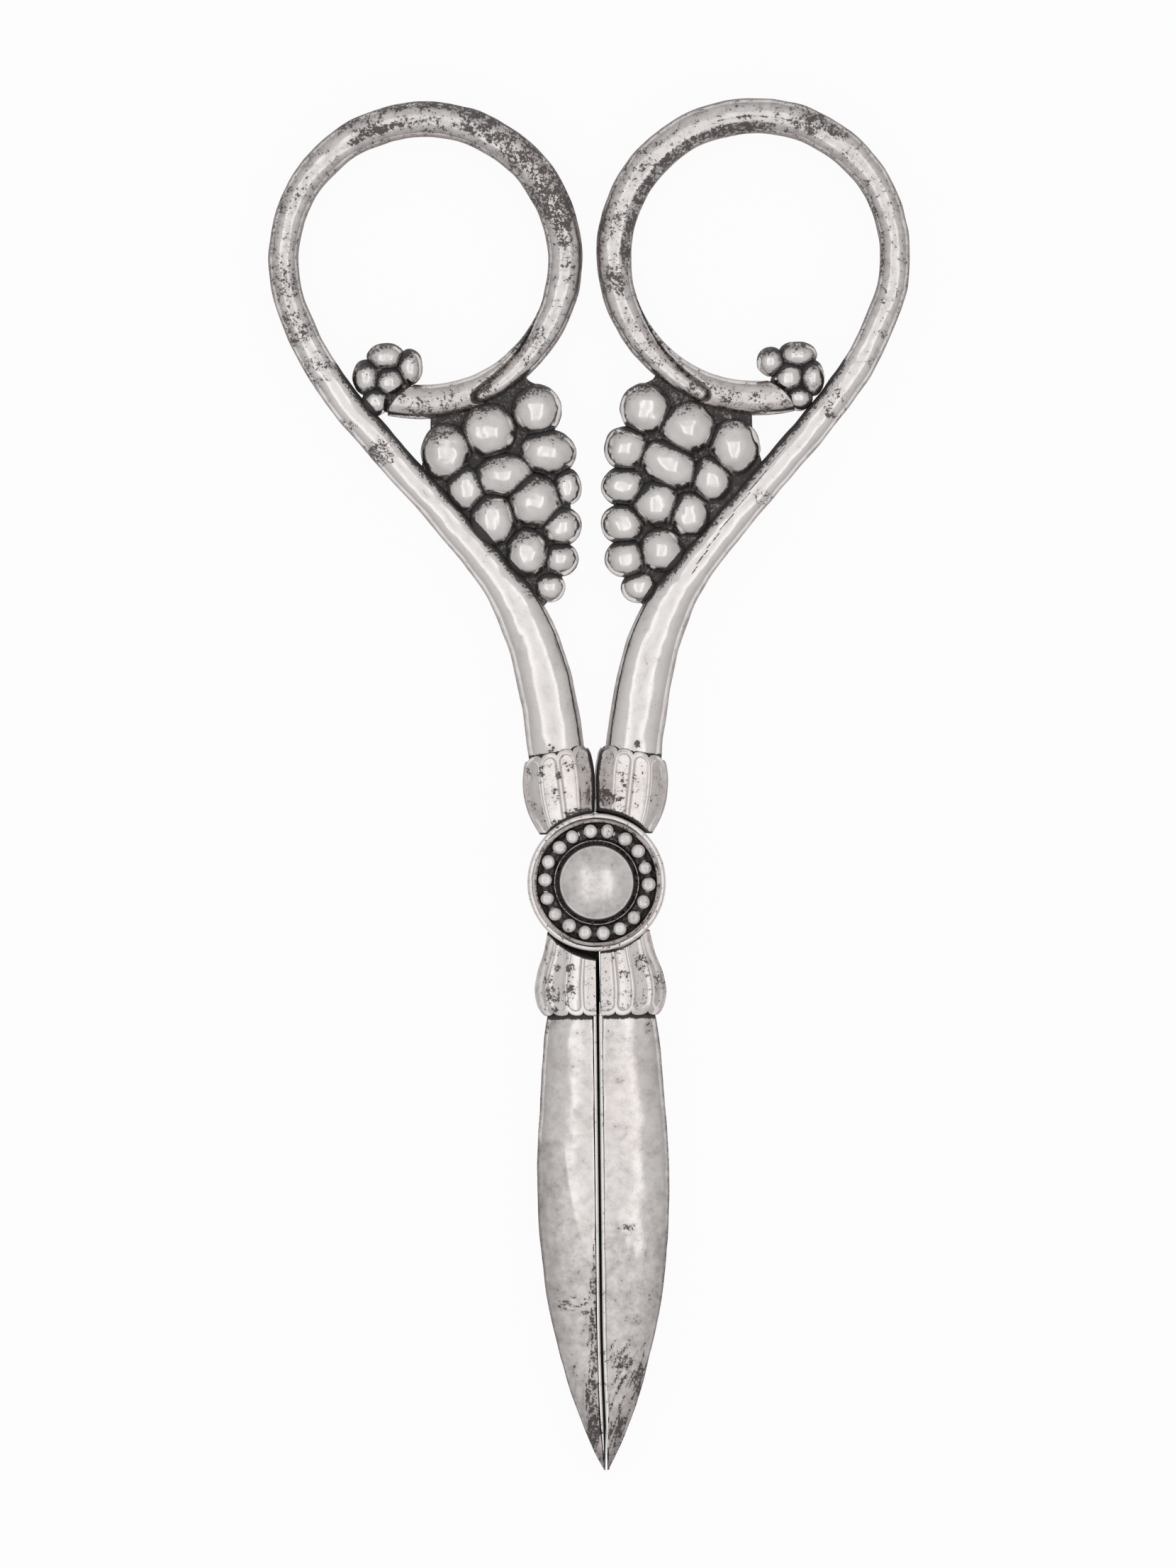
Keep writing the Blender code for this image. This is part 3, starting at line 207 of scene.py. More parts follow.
def make_age_group():
    """How old silver looks: a pinkish film, ragged dark specks and black patina in recesses."""
    tree, given, result = group_tree("old_silver", "ShaderNodeTree", (
        ("Place", "NodeSocketVector", None),
        ("Grime", "NodeSocketFloat", 0.0),
        ("Tarnish", "NodeSocketFloat", 0.0),
        ("Dullness", "NodeSocketFloat", 0.0),
        ("Mattness", "NodeSocketFloat", 0.0),
        ("Polish", "NodeSocketFloat", 0.15),
        ("Warmth", "NodeSocketFloat", 0.5),
    ), (("Colour", "NodeSocketColor"), ("Metal", "NodeSocketFloat"),
        ("Roughness", "NodeSocketFloat"), ("Height", "NodeSocketFloat")))

    def cloud(scale, detail, roughness=0.6):    # scale in lumps per metre
        inputs = {"Vector": given["Place"], "Scale": scale, "Detail": detail,
                  "Roughness": roughness}
        value = add_node(tree, "ShaderNodeTexNoise", inputs).outputs["Fac"]
        return maths(tree, 'SUBTRACT', value, 0.5)

    broad, patchy = cloud(130, 3), cloud(420, 4)
    mottle, speck, grain = cloud(1100, 5, 0.7), cloud(3100, 4, 0.7), cloud(9000, 2)
    rough_edge = maths(tree, 'MULTIPLY_ADD', speck, 1.4, maths(tree, 'MULTIPLY', mottle, 0.9))
    rough_edge = maths(tree, 'MULTIPLY_ADD', patchy, 0.5, rough_edge)
    deep = maths(tree, 'MULTIPLY_ADD', rough_edge, 0.55, given["Grime"])
    deep = ease(tree, deep, 0.40, 0.64)
    spots = maths(tree, 'MULTIPLY_ADD', given["Tarnish"], 0.44, rough_edge)
    spots = maths(tree, 'MULTIPLY', ease(tree, spots, 0.33, 0.40),
                  ease(tree, given["Tarnish"], 0.0, 0.3))
    film = maths(tree, 'MULTIPLY_ADD', patchy, 0.8, mottle)
    film = maths(tree, 'MULTIPLY_ADD', given["Tarnish"], 0.42, film)
    film = ease(tree, maths(tree, 'ADD', given["Dullness"], film), 0.0, 1.0)
    stain = maths(tree, 'MAXIMUM', deep, maths(tree, 'MULTIPLY', spots, 0.8))
    pink = maths(tree, 'MULTIPLY', ease(tree, broad, -0.22, 0.22), given["Warmth"])
    colour = blend_colour(tree, pink, SILVER, WARM_SILVER)
    colour = blend_colour(tree, film, colour, FILM)
    shade = maths(tree, 'MULTIPLY_ADD', grain, 0.22, 1.0)
    colour = add_node(tree, "ShaderNodeVectorMath", {0: colour, "Scale": shade},
                      operation='SCALE').outputs[0]
    colour = blend_colour(tree, maths(tree, 'MULTIPLY', spots, 0.9), colour, SPECK)
    colour = blend_colour(tree, deep, colour, PATINA)
    tree.links.new(colour, result["Colour"])
    tree.links.new(maths(tree, 'MULTIPLY_ADD', stain, -0.85, 1.0), result["Metal"])
    rough = maths(tree, 'MULTIPLY_ADD', stain, 0.38, given["Polish"])
    rough = maths(tree, 'MULTIPLY_ADD', film, 0.07, rough)
    rough = maths(tree, 'MULTIPLY_ADD', given["Mattness"], 0.30, rough)
    rough = maths(tree, 'MULTIPLY_ADD', maths(tree, 'MAXIMUM', broad, 0.0), 0.25, rough)
    tree.links.new(rough, result["Roughness"])
    dents = maths(tree, 'MULTIPLY_ADD', stain, -0.6, maths(tree, 'MULTIPLY', mottle, 0.25))
    dents = maths(tree, 'MULTIPLY_ADD', grain, 0.12, dents)
    tree.links.new(dents, result["Height"])
    return tree


OLD_SILVER = make_age_group()


def old_silver(name, polish, warmth, relief=0.03 * MM):
    """Silver with the group's wear, guided by the mask attributes of its mesh."""
    material, tree = new_material(name)
    inputs = {"Place": add_node(tree, "ShaderNodeTexCoord").outputs["Object"],
              "Polish": polish, "Warmth": warmth}
    for mask, socket in zip(MASKS, ("Grime", "Tarnish", "Dullness", "Mattness")):
        inputs[socket] = add_node(tree, "ShaderNodeAttribute", attribute_name=mask).outputs["Fac"]
    worn = add_node(tree, "ShaderNodeGroup", inputs, node_tree=OLD_SILVER)
    bump = add_node(tree, "ShaderNodeBump", {"Height": worn.outputs["Height"],
                                             "Distance": relief, "Strength": 1.0})
    shader = add_node(tree, "ShaderNodeBsdfPrincipled", {
        "Base Color": worn.outputs["Colour"], "Metallic": worn.outputs["Metal"],
        "Roughness": worn.outputs["Roughness"], "Normal": bump.outputs[0],
        "Specular Tint": EDGE_TINT})
    add_node(tree, "ShaderNodeOutputMaterial", {"Surface": shader.outputs[0]})
    return material


def new_piece(name, corners, faces, material, **masks):
    """A smooth-shaded mesh object with its masks stored on its points."""
    mesh = bpy.data.meshes.new(name)
    mesh.from_pydata([tuple(corner) for corner in corners], [], faces)
    for mask in MASKS:
        values = np.broadcast_to(masks.get(mask, 0.0), len(mesh.vertices)).astype(np.float32)
        mesh.attributes.new(mask, 'FLOAT', 'POINT').data.foreach_set("value", values)
    mesh.materials.append(material)
    mesh.shade_smooth()
    piece = bpy.data.objects.new(name, mesh)
    bpy.context.scene.collection.objects.link(piece)
    return piece


def skin_faces(rows, columns, closed=True, first=0):
    """Faces of a grid of points, closed round its columns or open."""
    faces = []
    for row in range(rows - 1):
        start = first + row * columns
        for column in range(columns if closed else columns - 1):
            beside = (column + 1) % columns
            faces.append((start + column, start + beside,
                          start + columns + beside, start + columns + column))
    return faces


def capped_skin(rows):
    """Points and faces of a closed body through rings of points, with a fan at each end."""
    count, columns = rows.shape[:2]
    corners = np.vstack([rows.reshape(-1, 3), rows[0].mean(0), rows[-1].mean(0)])
    faces = skin_faces(count, columns)
    low, high = len(corners) - 2, len(corners) - 1
    last = (count - 1) * columns
    for column in range(columns):
        beside = (column + 1) % columns
        faces.append((beside, column, low))
        faces.append((last + column, last + beside, high))
    return corners, faces


def face_outwards(piece):
    """Turns every face of a closed piece to point out of it."""
    body = bmesh.new()
    body.from_mesh(piece.data)
    bmesh.ops.recalc_face_normals(body, faces=body.faces)
    body.to_mesh(piece.data)
    body.free()


def turned(profile, turns=TURNS):
    """Points and faces of a closed ring turned round the pivot from (radius, z) corners."""
    angles = np.linspace(0, 2 * math.pi, turns, endpoint=False)
    around = np.stack([np.cos(angles), np.sin(angles)], 1)
    rows = [np.column_stack([around * radius, np.full(turns, z)]) for radius, z in profile]
    corners = np.vstack(rows)
    faces = skin_faces(len(rows), turns)
    last = (len(rows) - 1) * turns
    for step in range(turns):
        beside = (step + 1) % turns
        faces.append((last + step, last + beside, beside, step))
    return corners, faces


def round_corner(centre, radius, start, end, steps=4):
    """Points of a rounded corner in a (radius, z) profile."""
    angles = np.radians(np.linspace(start, end, steps + 1))
    return [(centre[0] + radius * math.cos(a), centre[1] + radius * math.sin(a)) for a in angles]


def make_lug(name, face, handle_side):
    inner, outer = RUNNING_GAP / 2, BODY_DEPTH / 2
    rim = LUG_RADIUS - LUG_EDGE
    profile = [(LUG_BORE, inner), (LUG_RADIUS - LUG_EDGE / 3, inner)]
    profile += round_corner((rim, outer - LUG_EDGE), LUG_EDGE, 0, 90)
    profile += [(LUG_BORE + LUG_EDGE, outer), (LUG_BORE, outer - LUG_EDGE)]
    corners, faces = turned([(r, MID_Z + face * z) for r, z in profile])
    for side, ends in ((handle_side, UPPER_TANG), (-handle_side, LOWER_TANG)):
        start, end = (np.array(spot) * MM * (side, 1) for spot in ends)
        ahead = (end - start) / np.linalg.norm(end - start)
        across = np.array((-ahead[1], ahead[0])) * TANG_WIDTH / 2
        first = len(corners)
        flat = [start - across, start + across, end + across, end - across]
        levels = (MID_Z + face * TANG_LIFT, MID_Z + face * (TANG_LIFT + TANG_DEPTH))
        corners = np.vstack([corners] + [[(*spot, z) for spot in flat] for z in levels])
        quads = ((0, 1, 2, 3), (7, 6, 5, 4), (0, 4, 5, 1), (1, 5, 6, 2), (2, 6, 7, 3), (3, 7, 4, 0))
        faces += [tuple(first + place for place in quad) for quad in quads]
    reach = np.hypot(corners[:, 0], corners[:, 1]) / LUG_RADIUS
    rim_grime = LUG_RIM_GRIME * np.clip((reach - 0.9) * 10, 0, 1)
    lug = new_piece(name, corners, faces, LUG_SILVER, grime=rim_grime, tarnish=0.35)
    face_outwards(lug)
    lug.data.set_sharp_from_angle(angle=LUG_SHARP_ANGLE)
    return lug


LUG_SILVER = old_silver("lug_silver", polish=0.2, warmth=0.8)
for name, face, handle_side, body in (("rear_lug_plate", REAR, RIGHT, "rear_half"),
                                      ("front_lug_plate", FRONT, LEFT, "front_half")):
    plate = make_lug(name, face, handle_side)
    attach(plate, body)
    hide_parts(name.replace("_plate", ""))

# The finger bows: one rod of silver for each handle makes the shank and the ring, drawn down to
# a rounded free end. It was bent round a mandrel, then hammered and polished, so the light
# runs along it in a band with wavy edges.
RING = (18.65 * MM, 70.5 * MM)   # ring centre of the right bow
RING_RADIUS = 15.9 * MM
RING_LEAVE_ANGLE = -20.0
RING_END_ANGLE = 205.0
SHANK_FOOT = (4.102 * MM, 12.6 * MM)
SHANK_LEAN = 83.25
SHANK_BEND = (18.4 * MM, 43.6 * MM)
SHANK_BEND_ANGLE = 49.0
BOW_TIP = (13.0 * MM, 54.6 * MM)
BOW_TIP_ANGLE = -36.0
# How far the end slopes of the rod's three free curves reach, as shares of each curve's span.
PULL_SHARES = ((0.527, 0.469), (0.494, 0.342), (0.512, 0.236))
SHANK_WIDTH = 6.6 * MM
SHANK_DEPTH = 4.9 * MM
BOW_WIDTH_SHARES = (
    ((0, 1.0), (0.22, 0.97), (0.5, 0.87), (0.72, 0.68), (1, 0.59)),
    ((0, 0.59), (0.5, 0.585), (1, 0.55)),
    ((0, 0.55), (0.1, 0.54), (0.2, 0.56), (0.45, 0.635), (0.8, 0.64), (1, 0.575)),
    ((0, 0.575), (0.35, 0.47), (0.65, 0.40), (0.88, 0.34), (0.96, 0.30), (1, 0.17)),
)
BOW_DEPTH_SHARES = (
    ((0, 1.0), (0.3, 0.97), (0.7, 0.84), (1, 0.78)),
    ((0, 0.78), (1, 0.74)),
    ((0, 0.74), (0.5, 0.80), (1, 0.78)),
    ((0, 0.78), (0.5, 0.76), (0.85, 0.74), (0.96, 0.68), (1, 0.44)),
)
BOW_STEPS = (150, 110, 290, 70)  # stations along the four stretches of the rod
ROD_SQUARENESS = 2.3
ROD_SIDES = 64
BOW_MARKS = (3.6 * MM, 0.33 * MM)    # size and depth of the hammer marks
RING_START = BOW_STEPS[0] + BOW_STEPS[1]    # station where the ring begins
TIP_START = RING_START + BOW_STEPS[2]
ROD_SHADED_SIDE = (0.82, 0.94)          # share of the half width where the rod's side begins: matt, and painted darker as shade
PAINTED_REFLECTION_LINE = (0.84, 0.89)        # a painted reflection: the dark line along the inside of the rod
FRUIT_SPAN = (29, 34, 56, 60)    # y in mm where the rod beside a bunch darkens and clears
FRUIT_LAST_STATION = 275         # beyond it the rod has left the bunch
FOOT_SPAN = (14.55, 14.95)       # y in mm over which the grime at the collar ends
SMEAR_FADE = 16                  # degrees
CRACK_STATIONS = (104, 172)      # a fine crack along the right shank: from and to
CRACK_ACROSS = (-0.1, 0.56)
CRACK_GRIME = 0.66
# Smears along the rings: from and to in degrees, middle and half width across, strength.
RING_SMEARS = {
    LEFT: ((46, 92, 0.26, 0.30, 0.95), (45, 135, -0.74, 0.34, 0.92), (92, 188, -0.1, 0.7, 0.85),
           (-12, 45, -0.7, 0.35, 0.6), (-10, 40, 0.75, 0.25, 0.55)),
    RIGHT: ((60, 118, 0.08, 0.10, 1.0), (70, 195, 0.66, 0.42, 0.95), (40, 85, -0.4, 0.5, 0.88),
            (150, 195, -0.75, 0.3, 0.75), (-20, 40, 0.85, 0.2, 0.8), (96, 150, -0.5, 0.5, 0.5)),
}
# Where the rings have darkened, in mm: x, y, reach, strength.
BOW_STAINS = {LEFT: (
    (-3.5, 78.0, 6.5, 0.95), (-7.0, 83.5, 5.5, 0.85), (-12.0, 87.0, 5.0, 0.6),
    (-19.0, 86.5, 5.0, 0.55), (-25.0, 86.0, 4.0, 0.7), (-32.5, 79.0, 4.5, 0.45),
    (-35.0, 68.0, 5.0, 0.65), (-33.5, 63.0, 4.0, 0.7), (-31.0, 58.5, 3.5, 0.6),
    (-2.6, 71.0, 4.0, 0.55), (-6.5, 60.5, 3.5, 0.6), (-12.5, 55.0, 3.0, 0.85),
    (-24.0, 48.5, 2.8, 0.8), (-5.0, 15.2, 0.8, 1.0), (-3.6, 14.9, 0.5, 0.8),
    (-27.5, 51.5, 2.0, 0.6),
), RIGHT: (
    (3.0, 75.0, 4.0, 0.6), (2.6, 68.0, 4.0, 0.7), (6.0, 80.5, 4.0, 0.55), (14.0, 87.0, 4.0, 0.5),
    (20.0, 85.5, 5.0, 0.5), (25.0, 86.0, 3.5, 0.8), (29.5, 82.0, 3.0, 0.5),
    (7.0, 59.5, 3.5, 0.5), (12.5, 55.3, 3.0, 0.7), (27.5, 53.5, 3.0, 0.6), (33.8, 62.0, 2.5, 0.45),
    (4.7, 15.5, 0.7, 0.95), (19.5, 43.0, 2.0, 0.5),
)}


def smooth_curve(stops, places):
    """Values at the places of a smooth curve through the (place, value) stops."""
    x, y = np.array(stops, float).T
    slopes = np.diff(y) / np.diff(x)
    total = slopes[:-1] + slopes[1:]
    total[total == 0] = 1
    level = slopes[:-1] * slopes[1:] <= 0
    bends = np.where(level, 0.0, 2 * slopes[:-1] * slopes[1:] / total)
    tangents = np.concatenate([slopes[:1], bends, slopes[-1:]])
    index = np.clip(np.searchsorted(x, places, side='right') - 1, 0, len(x) - 2)
    span = x[index + 1] - x[index]
    t = (np.asarray(places) - x[index]) / span
    rise = tangents[index] * span * (t - 2 * t ** 2 + t ** 3)
    settle = tangents[index + 1] * span * (t ** 3 - t ** 2)
    return y[index] + (y[index + 1] - y[index]) * (3 * t ** 2 - 2 * t ** 3) + rise + settle


def smooth_step(low, high, values):
    t = np.clip((values - low) / (high - low), 0, 1)
    return t * t * (3 - 2 * t)


def direction(degrees):
    return np.array((math.cos(math.radians(degrees)), math.sin(math.radians(degrees))))


def ring_point(degrees, inset=0.0):
    angles = np.radians(degrees)
    around = np.stack([np.cos(angles), np.sin(angles)], -1)
    return np.array(RING) + around * (RING_RADIUS - np.asarray(inset))[..., None]


def curve_points(start, start_degrees, end, end_degrees, pulls, places):
    """A smooth curve that leaves and arrives at given slopes."""
    start, end = np.array(start), np.array(end)
    span = np.linalg.norm(end - start)
    first = start + direction(start_degrees) * span * pulls[0]
    second = end - direction(end_degrees) * span * pulls[1]
    t = places[:, None]
    return ((1 - t) ** 3 * start + 3 * (1 - t) ** 2 * t * first
            + 3 * (1 - t) * t ** 2 * second + t ** 3 * end)


def bow_stations():
    """The rod's middle line with its width and depth at each station, for the right bow."""
    shares = [np.linspace(0, 1, steps, endpoint=steps == BOW_STEPS[-1]) for steps in BOW_STEPS]
    swing = RING_END_ANGLE - RING_LEAVE_ANGLE
    path = np.vstack([
        curve_points(SHANK_FOOT, SHANK_LEAN, SHANK_BEND, SHANK_BEND_ANGLE, PULL_SHARES[0],
                     shares[0]),
        curve_points(SHANK_BEND, SHANK_BEND_ANGLE, ring_point(RING_LEAVE_ANGLE),
                     RING_LEAVE_ANGLE + 90, PULL_SHARES[1], shares[1]),
        ring_point(RING_LEAVE_ANGLE + swing * shares[2]),
        curve_points(ring_point(RING_END_ANGLE), RING_END_ANGLE + 90, BOW_TIP, BOW_TIP_ANGLE,
                     PULL_SHARES[2], shares[3]),
    ])
    widths = [smooth_curve(stops, places) for stops, places in zip(BOW_WIDTH_SHARES, shares)]
    depths = [smooth_curve(stops, places) for stops, places in zip(BOW_DEPTH_SHARES, shares)]
    return path, SHANK_WIDTH * np.concatenate(widths), SHANK_DEPTH * np.concatenate(depths)


def squared_circle(sides):
    """Points round a unit circle that is a little squarer than round."""
    angles = np.linspace(0, 2 * math.pi, sides, endpoint=False)
    turn = np.stack([np.cos(angles), np.sin(angles)], 1)
    reach = (np.abs(turn) ** ROD_SQUARENESS).sum(1) ** (-1 / ROD_SQUARENESS)
    return turn * reach[:, None]


def along_and_across(steps):
    """Unit vectors along flat steps, and across them to the left."""
    ahead = steps / np.linalg.norm(steps, axis=1)[:, None]
    return ahead, np.stack([-ahead[:, 1], ahead[:, 0]], 1)


def rod_rows(path, widths, depths, side):
    """Rings of points of an oval rod along a flat path, mirrored for the left side."""
    _, across = along_and_across(np.gradient(path, axis=0))
    turn = squared_circle(ROD_SIDES)
    flat = path[:, None] + across[:, None] * (turn[None, :, :1] * widths[:, None, None] / 2)
    height = turn[None, :, 1] * depths[:, None] / 2 + MID_Z
    rows = np.dstack([flat, height])
    rows[..., 0] *= side
    return rows


def stain_mask(corners, stains):
    """How strongly a list of (x, y, reach, strength) stains in mm covers each point."""
    mask = np.zeros(len(corners))
    for x, y, reach, strength in stains:
        away = np.hypot(corners[:, 0] - x * MM, corners[:, 1] - y * MM)
        mask = np.maximum(mask, strength * (1 - smooth_step(reach * MM * 0.35, reach * MM, away)))
    return mask


def push_by_noise(tree, geometry, size, depth, shift, detail, level):
    """Geometry pushed along its normals by a soft noise, and pulled in where that is low."""
    place = add_node(tree, "GeometryNodeInputPosition").outputs[0]
    scaled = add_node(tree, "ShaderNodeVectorMath", {
        0: place, "Scale": maths(tree, 'DIVIDE', 1.0, size)}, operation='SCALE').outputs[0]
    moved = add_node(tree, "ShaderNodeVectorMath", {0: scaled, 1: shift}).outputs[0]
    noise = add_node(tree, "ShaderNodeTexNoise", {"Vector": moved, "Scale": 1.0, "Detail": detail,
                                                  "Roughness": 0.4}).outputs["Fac"]
    height = maths(tree, 'MULTIPLY', maths(tree, 'SUBTRACT', noise, level), depth)
    way = add_node(tree, "GeometryNodeInputNormal").outputs[0]
    push = add_node(tree, "ShaderNodeVectorMath", {0: way, "Scale": height}, operation='SCALE')
    return add_node(tree, "GeometryNodeSetPosition", {"Geometry": geometry,
                                                      "Offset": push.outputs[0]}).outputs[0]


def finish_tree(tree, geometry, metal, result):
    """Ends a tree of geometry nodes: makes its instances real and sets the metal."""
    real = add_node(tree, "GeometryNodeRealizeInstances", {0: geometry}).outputs[0]
    finished = add_node(tree, "GeometryNodeSetMaterial", {"Geometry": real, "Material": metal})
    tree.links.new(finished.outputs[0], result["Geometry"])
    return tree


def make_hammer_tree():
    """Geometry nodes that press uneven marks into a surface, as a hammer leaves them."""
    tree, given, result = group_tree("hammered_surface", "GeometryNodeTree", (
        ("Geometry", "NodeSocketGeometry", None),
        ("Mark Size", "NodeSocketFloat", 4.5 * MM),
        ("Mark Depth", "NodeSocketFloat", 0.05 * MM),
        ("Seed", "NodeSocketFloat", 0.0),
        ("Metal", "NodeSocketMaterial", None),
    ), (("Geometry", "NodeSocketGeometry"),))
    shift = add_node(tree, "ShaderNodeCombineXYZ", {0: given["Seed"], 1: given["Seed"]}).outputs[0]
    pushed = push_by_noise(tree, given["Geometry"], given["Mark Size"], given["Mark Depth"],
                           shift, 1.5, 0.78)
    return finish_tree(tree, pushed, given["Metal"], result)


HAMMERED = make_hammer_tree()


def run_nodes(piece, tree, values):
    """Runs a geometry node tree on a piece and keeps the result as its plain mesh."""
    step = piece.modifiers.new(tree.name, 'NODES')
    step.node_group = tree
    for item in tree.interface.items_tree:
        if item.in_out == 'INPUT' and item.name in values:
            step[item.identifier] = values[item.name]
    graph = bpy.context.evaluated_depsgraph_get()
    graph.update()
    mesh = bpy.data.meshes.new_from_object(piece.evaluated_get(graph))
    piece.modifiers.clear()
    piece.data = mesh
    mesh.name = piece.name
    mesh.shade_smooth()


def hammer(piece, marks, seed):
    """Presses marks of a (size, depth) into a piece; the seed says where they fall."""
    run_nodes(piece, HAMMERED, {"Mark Size": marks[0], "Mark Depth": marks[1], "Seed": seed,
                                "Metal": piece.data.materials[0]})


def make_bow(name, side):
    path, widths, depths = bow_stations()
    rows = rod_rows(path, widths, depths, side)
    corners, faces = capped_skin(rows)
    count, sides = rows.shape[:2]
    turn = squared_circle(sides)
    across = np.tile(turn[:, 0], count)
    turn_up = np.tile(turn[:, 1], count)
    y = np.repeat(path[:, 1], sides) / MM
    station = np.repeat(np.arange(count), sides)
    on_ring = smooth_step(BOW_STEPS[0] + 30, RING_START + 20, station)
    tarnish = 0.12 + 0.42 * on_ring * (0.5 + 0.5 * np.abs(across) ** 1.5)
    swing = (RING_END_ANGLE - RING_LEAVE_ANGLE) / BOW_STEPS[2]
    degrees = RING_LEAVE_ANGLE + (station - RING_START) * swing
    for start, end, middle, reach, strength in RING_SMEARS[side]:
        along = smooth_step(start, start + SMEAR_FADE, degrees)
        along = along * (1 - smooth_step(end - SMEAR_FADE, end, degrees))
        beside = 1 - smooth_step(reach * 0.5, reach, np.abs(across - middle))
        tarnish = np.maximum(tarnish, strength * along * beside * (turn_up > 0))
    # Film on the ring, painted darker towards its sides as shade; past ROD_SHADED_SIDE the rod's
    # sides are painted darker still.
    dull = 0.01 + 0.27 * on_ring * (0.4 + 0.8 * np.abs(across))
    rim = smooth_step(*ROD_SHADED_SIDE, np.abs(across))
    dull += 0.5 * rim
    near_fruit = smooth_step(*FRUIT_SPAN[:2], y) * (1 - smooth_step(*FRUIT_SPAN[2:], y))
    near_fruit *= station < FRUIT_LAST_STATION
    tarnish = np.maximum(tarnish, 0.95 * near_fruit * smooth_step(0.30, 0.75, across))
    grime = near_fruit * smooth_step(0.62, 0.9, across)
    grime = np.maximum(grime, 0.85 * (1 - smooth_step(*FOOT_SPAN, y)))
    tip_side = smooth_step(TIP_START + 10, count - 10, station)
    # A painted reflection: the dark line that the rod's inner slope would mirror, put into the
    # grime.
    painted_reflection_line = (across > PAINTED_REFLECTION_LINE[0]) * (across < PAINTED_REFLECTION_LINE[1]) * (turn_up > 0)
    painted_reflection_line = painted_reflection_line * (1 - 0.8 * tip_side)
    # Painted shade: a dark edge along both sides of the rod, and along the outer side of its tip.
    grime = np.maximum(grime, 0.40 * (1 - tip_side) * smooth_step(0.94, 1.0, np.abs(across)))
    grime = np.maximum(grime, painted_reflection_line * (1 - 0.5 * smooth_step(BOW_STEPS[0], 190, station)))
    grime = np.maximum(grime, 0.3 * tip_side * smooth_step(0.92, 1.0, -across))
    if side == RIGHT:
        first, last = CRACK_STATIONS
        for place in range(first, last):
            drift = (place - first) / (last - first)
            target = CRACK_ACROSS[0] + (CRACK_ACROSS[1] - CRACK_ACROSS[0]) * drift
            column = np.abs(turn[:sides // 2, 0] - target).argmin()
            grime[place * sides + column] = CRACK_GRIME
    ends = np.zeros(2)
    tarnish = np.maximum(np.concatenate([tarnish, ends]), stain_mask(corners, BOW_STAINS[side]))
    bow = new_piece(name, corners, faces, BOW_SILVER, grime=np.concatenate([grime, ends]),
                    tarnish=tarnish, dull=np.concatenate([dull, ends]),
                    matt=np.concatenate([0.6 * rim, ends]))
    face_outwards(bow)
    hammer(bow, BOW_MARKS, 3.0 + side)
    return bow


BOW_SILVER = old_silver("bow_silver", polish=0.13, warmth=0.45)
for name, side, body, node in (("left_hammered_bow", LEFT, "front_half", "left_bow"),
                               ("right_hammered_bow", RIGHT, "rear_half", "right_bow")):
    bow = make_bow(name, side)
    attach(bow, body)
    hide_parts(node)

# The stems: in each bow the cut end of a vine, a wedge of silver soldered along the rod's
# free end. It swells towards its slanted end, which is hollowed a little behind a thin lip.
STEM_ANGLES = (197.0, 280.0)
STEM_INSET = 1.85 * MM
STEM_WIDTH = 4.0 * MM
STEM_DEPTH = 4.2 * MM
STEM_WIDTH_SHARES = ((0, 0.04), (0.22, 0.19), (0.36, 0.31), (0.55, 0.72), (0.66, 0.96), (1, 1.0))
STEM_DEPTH_SHARES = ((0, 0.40), (0.22, 0.52), (0.38, 0.70), (0.62, 1.0), (1, 1.0))
STEM_STATIONS = 140
STEM_CUT_START = 0.74            # share of the stem's length where its end begins to slant
STEM_CUT_SLANT = 2.5 * MM
STEM_CUT_BULGE = 0.24            # how far the cut's middle stands out, as a share of its slant
STEM_LIP = 0.16 * MM
STEM_HOLLOW = 0.35 * MM
# The hollowed end, from the lip inwards: share of the end's width kept, and depth in hollows.
HOLLOW_STEPS = ((1.0, 0.0), (0.97, 0.5), (0.8, 1.0), (0.4, 1.3))
STEM_MARKS = (2.6 * MM, 0.10 * MM)
STEM_STAINS = {
    LEFT: ((-19.0, 53.6, 2.4, 0.75), (-15.5, 54.0, 2.4, 0.65), (-21.5, 55.0, 1.8, 0.7),
           (-12.5, 55.5, 2.5, 0.5)),
    RIGHT: ((19.0, 53.6, 2.6, 0.75), (15.5, 54.4, 2.4, 0.7), (21.5, 54.0, 1.8, 0.65),
            (12.5, 56.0, 2.5, 0.5)),
}


def rod_gap(corners, side):
    """How far each point lies, in plan, from the bow's rod on its side; negative inside it."""
    path, widths, _ = bow_stations()
    flat = corners[:, :2] * (side, 1)
    gap = np.full(len(flat), 1.0)
    for spot, width in zip(path[::3], widths[::3]):
        gap = np.minimum(gap, np.hypot(*(flat - spot).T) - width / 2)
    return gap


